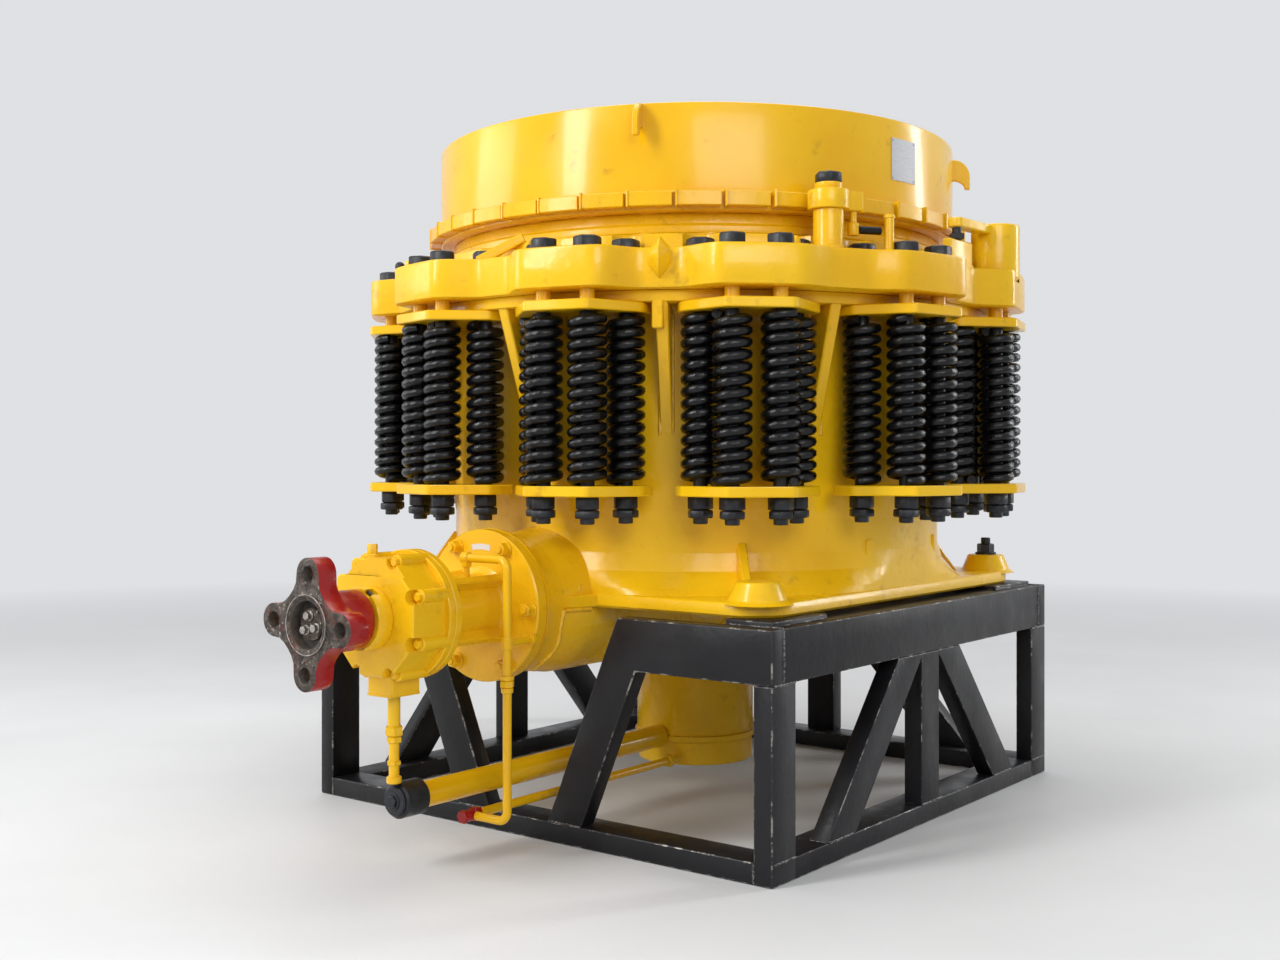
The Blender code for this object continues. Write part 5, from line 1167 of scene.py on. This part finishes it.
def lower_pipes():
    """Return pipe with its elbow, drain pipe, and thin pipe with its valve."""
    low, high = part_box("return_pipe")
    z = (low.z + high.z) / 2
    start, stop = y_span("return_pipe")
    pipe = Shape(SHEET).rod((0, start, z), (0, stop, z), 0.031, 48, edge=0.002)
    pipe.yellow("return_pipe_round", "return_pipe", angle=32)

    elbow = Shape(BOLT)
    start, stop = y_span("drain_elbow")
    elbow.rod((0, start + 0.016, z), (0, stop, z), 0.042, 48, edge=0.005)
    elbow.rod((0, start + 0.009, z), (0, start + 0.022, z), 0.035, 48, edge=0.003)
    elbow.rod((0, start + 0.006, z), (0, start + 0.012, z), 0.020, 32, edge=0.001)
    elbow.hexagon(at(0, start + 0.010, z) @ TIPPED, 0.026, 0.0098, turn=12)
    elbow.show("drain_elbow_round", "frame", ["drain_elbow"], "black_paint")

    drain = Shape(SHEET)
    low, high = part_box("drain_pipe")
    y = (low.y + high.y) / 2 - AXIS.y
    drain.rod((0, y, low.z), (0, y, high.z), 0.012, 32)
    drain.rod((0, y, low.z), (0, y, low.z + 0.016), 0.0175, 32, edge=0.002)
    drain.rod((0, y, 0.335), (0, y, high.z), 0.0145, 32, edge=0.001)
    nuts = ((0.298, 0.014, 0.032), (0.314, 0.022, 0.0375), (0.246, 0.010, 0.030))
    for level, rise, across in nuts:
        drain.hexagon(at(0, y, level), across, rise, turn=20, bottom=True)
    drain.yellow("drain_pipe_round", "drain_pipe", angle=32)

    low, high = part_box("thin_pipe")
    x, z = (low.x + high.x) / 2, (low.z + high.z) / 2
    start, stop = y_span("thin_pipe")
    thin = Shape(SHEET).rod((x, start, z), (x, stop, z), 0.011, 24)
    thin.hexagon(at(x, stop - 0.03, z) @ TIPPED, 0.032, 0.02, bottom=True)
    thin.yellow("thin_pipe_round", "thin_pipe", angle=32)

    valve = Shape(RED)
    start, stop = y_span("drain_valve")
    valve.hexagon(at(x, stop, z) @ TIPPED, 0.031, 0.022, bottom=True)
    valve.rod((x, start + 0.012, z), (x, stop - 0.02, z), 0.014, 24, edge=0.002)
    valve.hexagon(at(x, start + 0.014, z) @ TIPPED, 0.029, 0.0135, bottom=True)
    valve.show("drain_valve_body", "frame", ["drain_valve"], "red_paint")


def supply_pipe():
    """The bent pipe from the neck down to the thin pipe, with its fittings and stubs."""
    supply = Shape(SHEET)
    low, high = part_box("thin_pipe")
    foot = (low.z + high.z) / 2
    y = NECK_END + 0.055
    side, top = 0.174, SHAFT_Z + 0.124
    route = [(0.03, top), (side, top), (side, foot), (0.0765, foot)]
    route = filleted(route, 0.026, steps=8, closed=False)
    supply.tube([(across, y, level) for across, level in route], 0.0105, 24)
    fittings = ((0.404, 0.012, 0.0145), (0.434, 0.010, 0.0165), (0.505, 0.030, 0.0140))
    for level, long, size in fittings:
        supply.rod((side, y, level), (side, y, level + long), size, 24, edge=0.0015)
    supply.hexagon(at(side, y, 0.417), 0.029, 0.016, bottom=True)
    end = (side, DISC_FACE - 0.0006, 0.52)
    supply.rod((side, y, 0.52), end, 0.009, 20)
    supply.rod((side, DISC_FACE - 0.014, 0.52), end, 0.0125, 20, edge=0.001)
    supply.rod((0.0305, y, top), (0.052, y, top), 0.0145, 24, edge=0.002)
    supply.rod((0.042, y, SHAFT_Z + 0.066), (0.042, y, top), 0.0075, 20)
    supply.hexagon(at(0.042, y, top - 0.022), 0.022, 0.020, turn=8, bottom=True)
    supply.yellow("supply_pipe_round", "supply_pipe", angle=32)


def oil_cap():
    """The cap under the hub."""
    outline = [(0.165, 0.0821), (0.167, 0.083), (0.167, 0.1436), (0.177, 0.1496), (0.177, 0.1636)]
    cap = Shape(CASTING).lathe(filleted(outline, 0.003, closed=False))
    cap.yellow("hub_oil_cap_turned", "hub_oil_cap")


def stand():
    """Each member with rounded, worn edges, and the weld beads where members meet."""
    for name in sorted(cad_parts):
        if name.startswith("stand_"):
            # The braces' acute corners leave room for narrow edges only
            worn = {"bevel": 0.0018 if name.startswith("stand_brace") else 0.0032, "edge_slot": 1}
            member = Shape(STAND, WORN).take_node(name)
            member.show(f"{name}_tube", "frame", [name], "stand_paint", angle=30, **worn)
    welds = Shape(STAND_WELD)

    def seam(start, end):
        start, end = Vector(start), Vector(end)
        steps = max(int((end - start).length / 0.005), 2)
        path = [start.lerp(end, step / steps) for step in range(steps + 1)]
        welds.bead(path, 0.0032, rough=0.7)

    wide, deep = STAND_SIDE, STAND_END
    for x in (-1, 1):
        for y in (-1, 1):
            post, edge = y * 0.72, x * 0.71
            seam((x * wide, post, 0.448), (x * wide, post, 0.566))
            seam((x * wide, post, 0.5695), (x * 0.61, post, 0.5695))
            seam((edge, y * deep, 0.004), (edge, y * deep, 0.049))
            for z in (0.050, 0.445):
                seam((x * wide, y * 0.67, z), (x * wide, y * 0.76, z))
        seam((x * 0.103, -deep, 0.0505), (x * 0.206, -deep, 0.0505))
        for y in (-0.525, -0.048, 0.40):
            seam((x * wide, y, 0.0505), (x * wide, y + 0.115, 0.0505))
    welds.show("stand_welds", "frame", slot="stand_paint", angle=60)


def seen_directly(tree, rays):
    """One for camera, glossy and transmitted rays, and nothing for the rest."""
    total = rays.outputs["Is Camera Ray"]
    for ray in ("Is Glossy Ray", "Is Transmission Ray"):
        larger = tree.nodes.new("ShaderNodeMath")
        larger.operation = "MAXIMUM"
        tree.links.new(total, larger.inputs[0])
        tree.links.new(rays.outputs[ray], larger.inputs[1])
        total = larger.outputs[0]
    return total


def pale_floor():
    """A plain floor that fades into the backdrop."""
    mesh = bpy.data.meshes.new("floor")
    bm = bmesh.new()
    bmesh.ops.create_circle(bm, cap_ends=True, radius=60, segments=64)
    bm.to_mesh(mesh)
    bm.free()
    floor = placed("floor", mesh)
    floor.location = (0, 0, -0.001)
    paint = Nodes("floor_paint", roughness=0.55)
    patches = paint.ramp(paint.noise(1.2, 4.0), 0.35, 0.65)
    paint.colour(paint.mix(patches, (0.66, 0.665, 0.67), (0.70, 0.705, 0.71)))
    paint.bump([(paint.noise(40.0, 3.0), 0.0006)])
    away = paint.add("ShaderNodeVectorMath", {0: paint.place}, operation="LENGTH")
    seen = seen_directly(paint.tree, paint.add("ShaderNodeLightPath"))
    fade = paint.math("MULTIPLY", paint.ramp(away.outputs["Value"], 2.8, 8.0), seen)
    glow = paint.add("ShaderNodeEmission", {"Color": (*BACKDROP, 1), "Strength": 1.0})
    shaders = {0: fade, 1: paint.shader.outputs[0], 2: glow.outputs[0]}
    blend = paint.add("ShaderNodeMixShader", shaders)
    paint.tree.links.new(blend.outputs[0], paint.tree.nodes["Material Output"].inputs["Surface"])
    mesh.materials.append(paint.material)


def studio_light():
    """A world that is bright to look at and dim as a light, and five area lamps."""
    world = bpy.data.worlds.new("studio")
    world.use_nodes = True
    tree = world.node_tree
    background = tree.nodes["Background"]
    background.inputs["Color"].default_value = (*BACKDROP, 1)
    level = tree.nodes.new("ShaderNodeMapRange")
    level.inputs["To Min"].default_value = WORLD_LIGHT
    seen = seen_directly(tree, tree.nodes.new("ShaderNodeLightPath"))
    tree.links.new(seen, level.inputs["Value"])
    tree.links.new(level.outputs["Result"], background.inputs["Strength"])
    bpy.context.scene.world = world
    # Places as the camera sees them from the object: to the right, away from it, and up
    turn = Matrix.Rotation(radians(VIEW_TURN), 3, "Z")
    target = AXIS + Vector((0, 0, 0.9))
    for name, place, size, power in (
        ("key_strip_left", (-4.0, -3.2, 3.6), (1.0, 3.6), 190),
        ("fill_left", (-6.0, 0.5, 2.6), (2.4, 3.0), 90),
        ("front_soft", (1.2, -6.0, 3.2), (3.0, 2.2), 115),
        ("right_strip", (5.0, 1.2, 2.6), (0.6, 3.4), 95),
        ("overhead", (0.0, 0.6, 6.0), (4.0, 4.0), 150),
    ):
        light = bpy.data.lights.new(name, "AREA")
        light.shape = "RECTANGLE"
        light.size, light.size_y = size
        light.energy = power
        made = placed(name, light)
        made.location = AXIS + turn @ Vector(place)
        made.rotation_euler = (target - made.location).to_track_quat("-Z", "Y").to_euler()


def photo_camera():
    """The camera fitted to the photograph."""
    view = bpy.data.cameras.new("camera")
    camera = placed("camera", view)
    camera.location = AXIS + Vector((2.470, -3.449, 0.94))
    camera.rotation_euler = (radians(90), 0, radians(VIEW_TURN))
    view.sensor_width = 36
    view.lens = FOCAL_PIXELS / PHOTO_WIDE * view.sensor_width
    view.shift_y = HORIZON_PIXELS / PHOTO_WIDE
    view.clip_end = 200
    bpy.context.scene.camera = camera


spring_packs()
ring_bolts()
adjustment_ring()
main_frame()
bowl_and_cap()
nameplate()
post_pieces()
clamping_cylinder()
ring_pegs()
countershaft_housing()
end_housing()
seal_collar()
drive_coupling()
lower_pipes()
supply_pipe()
oil_cap()
stand()
for wearing in ("bowl_liner", "mantle", "feed_plate"):
    finish_node(wearing, IRON)
pale_floor()
studio_light()
photo_camera()
bpy.context.scene.view_settings.view_transform = "Standard"
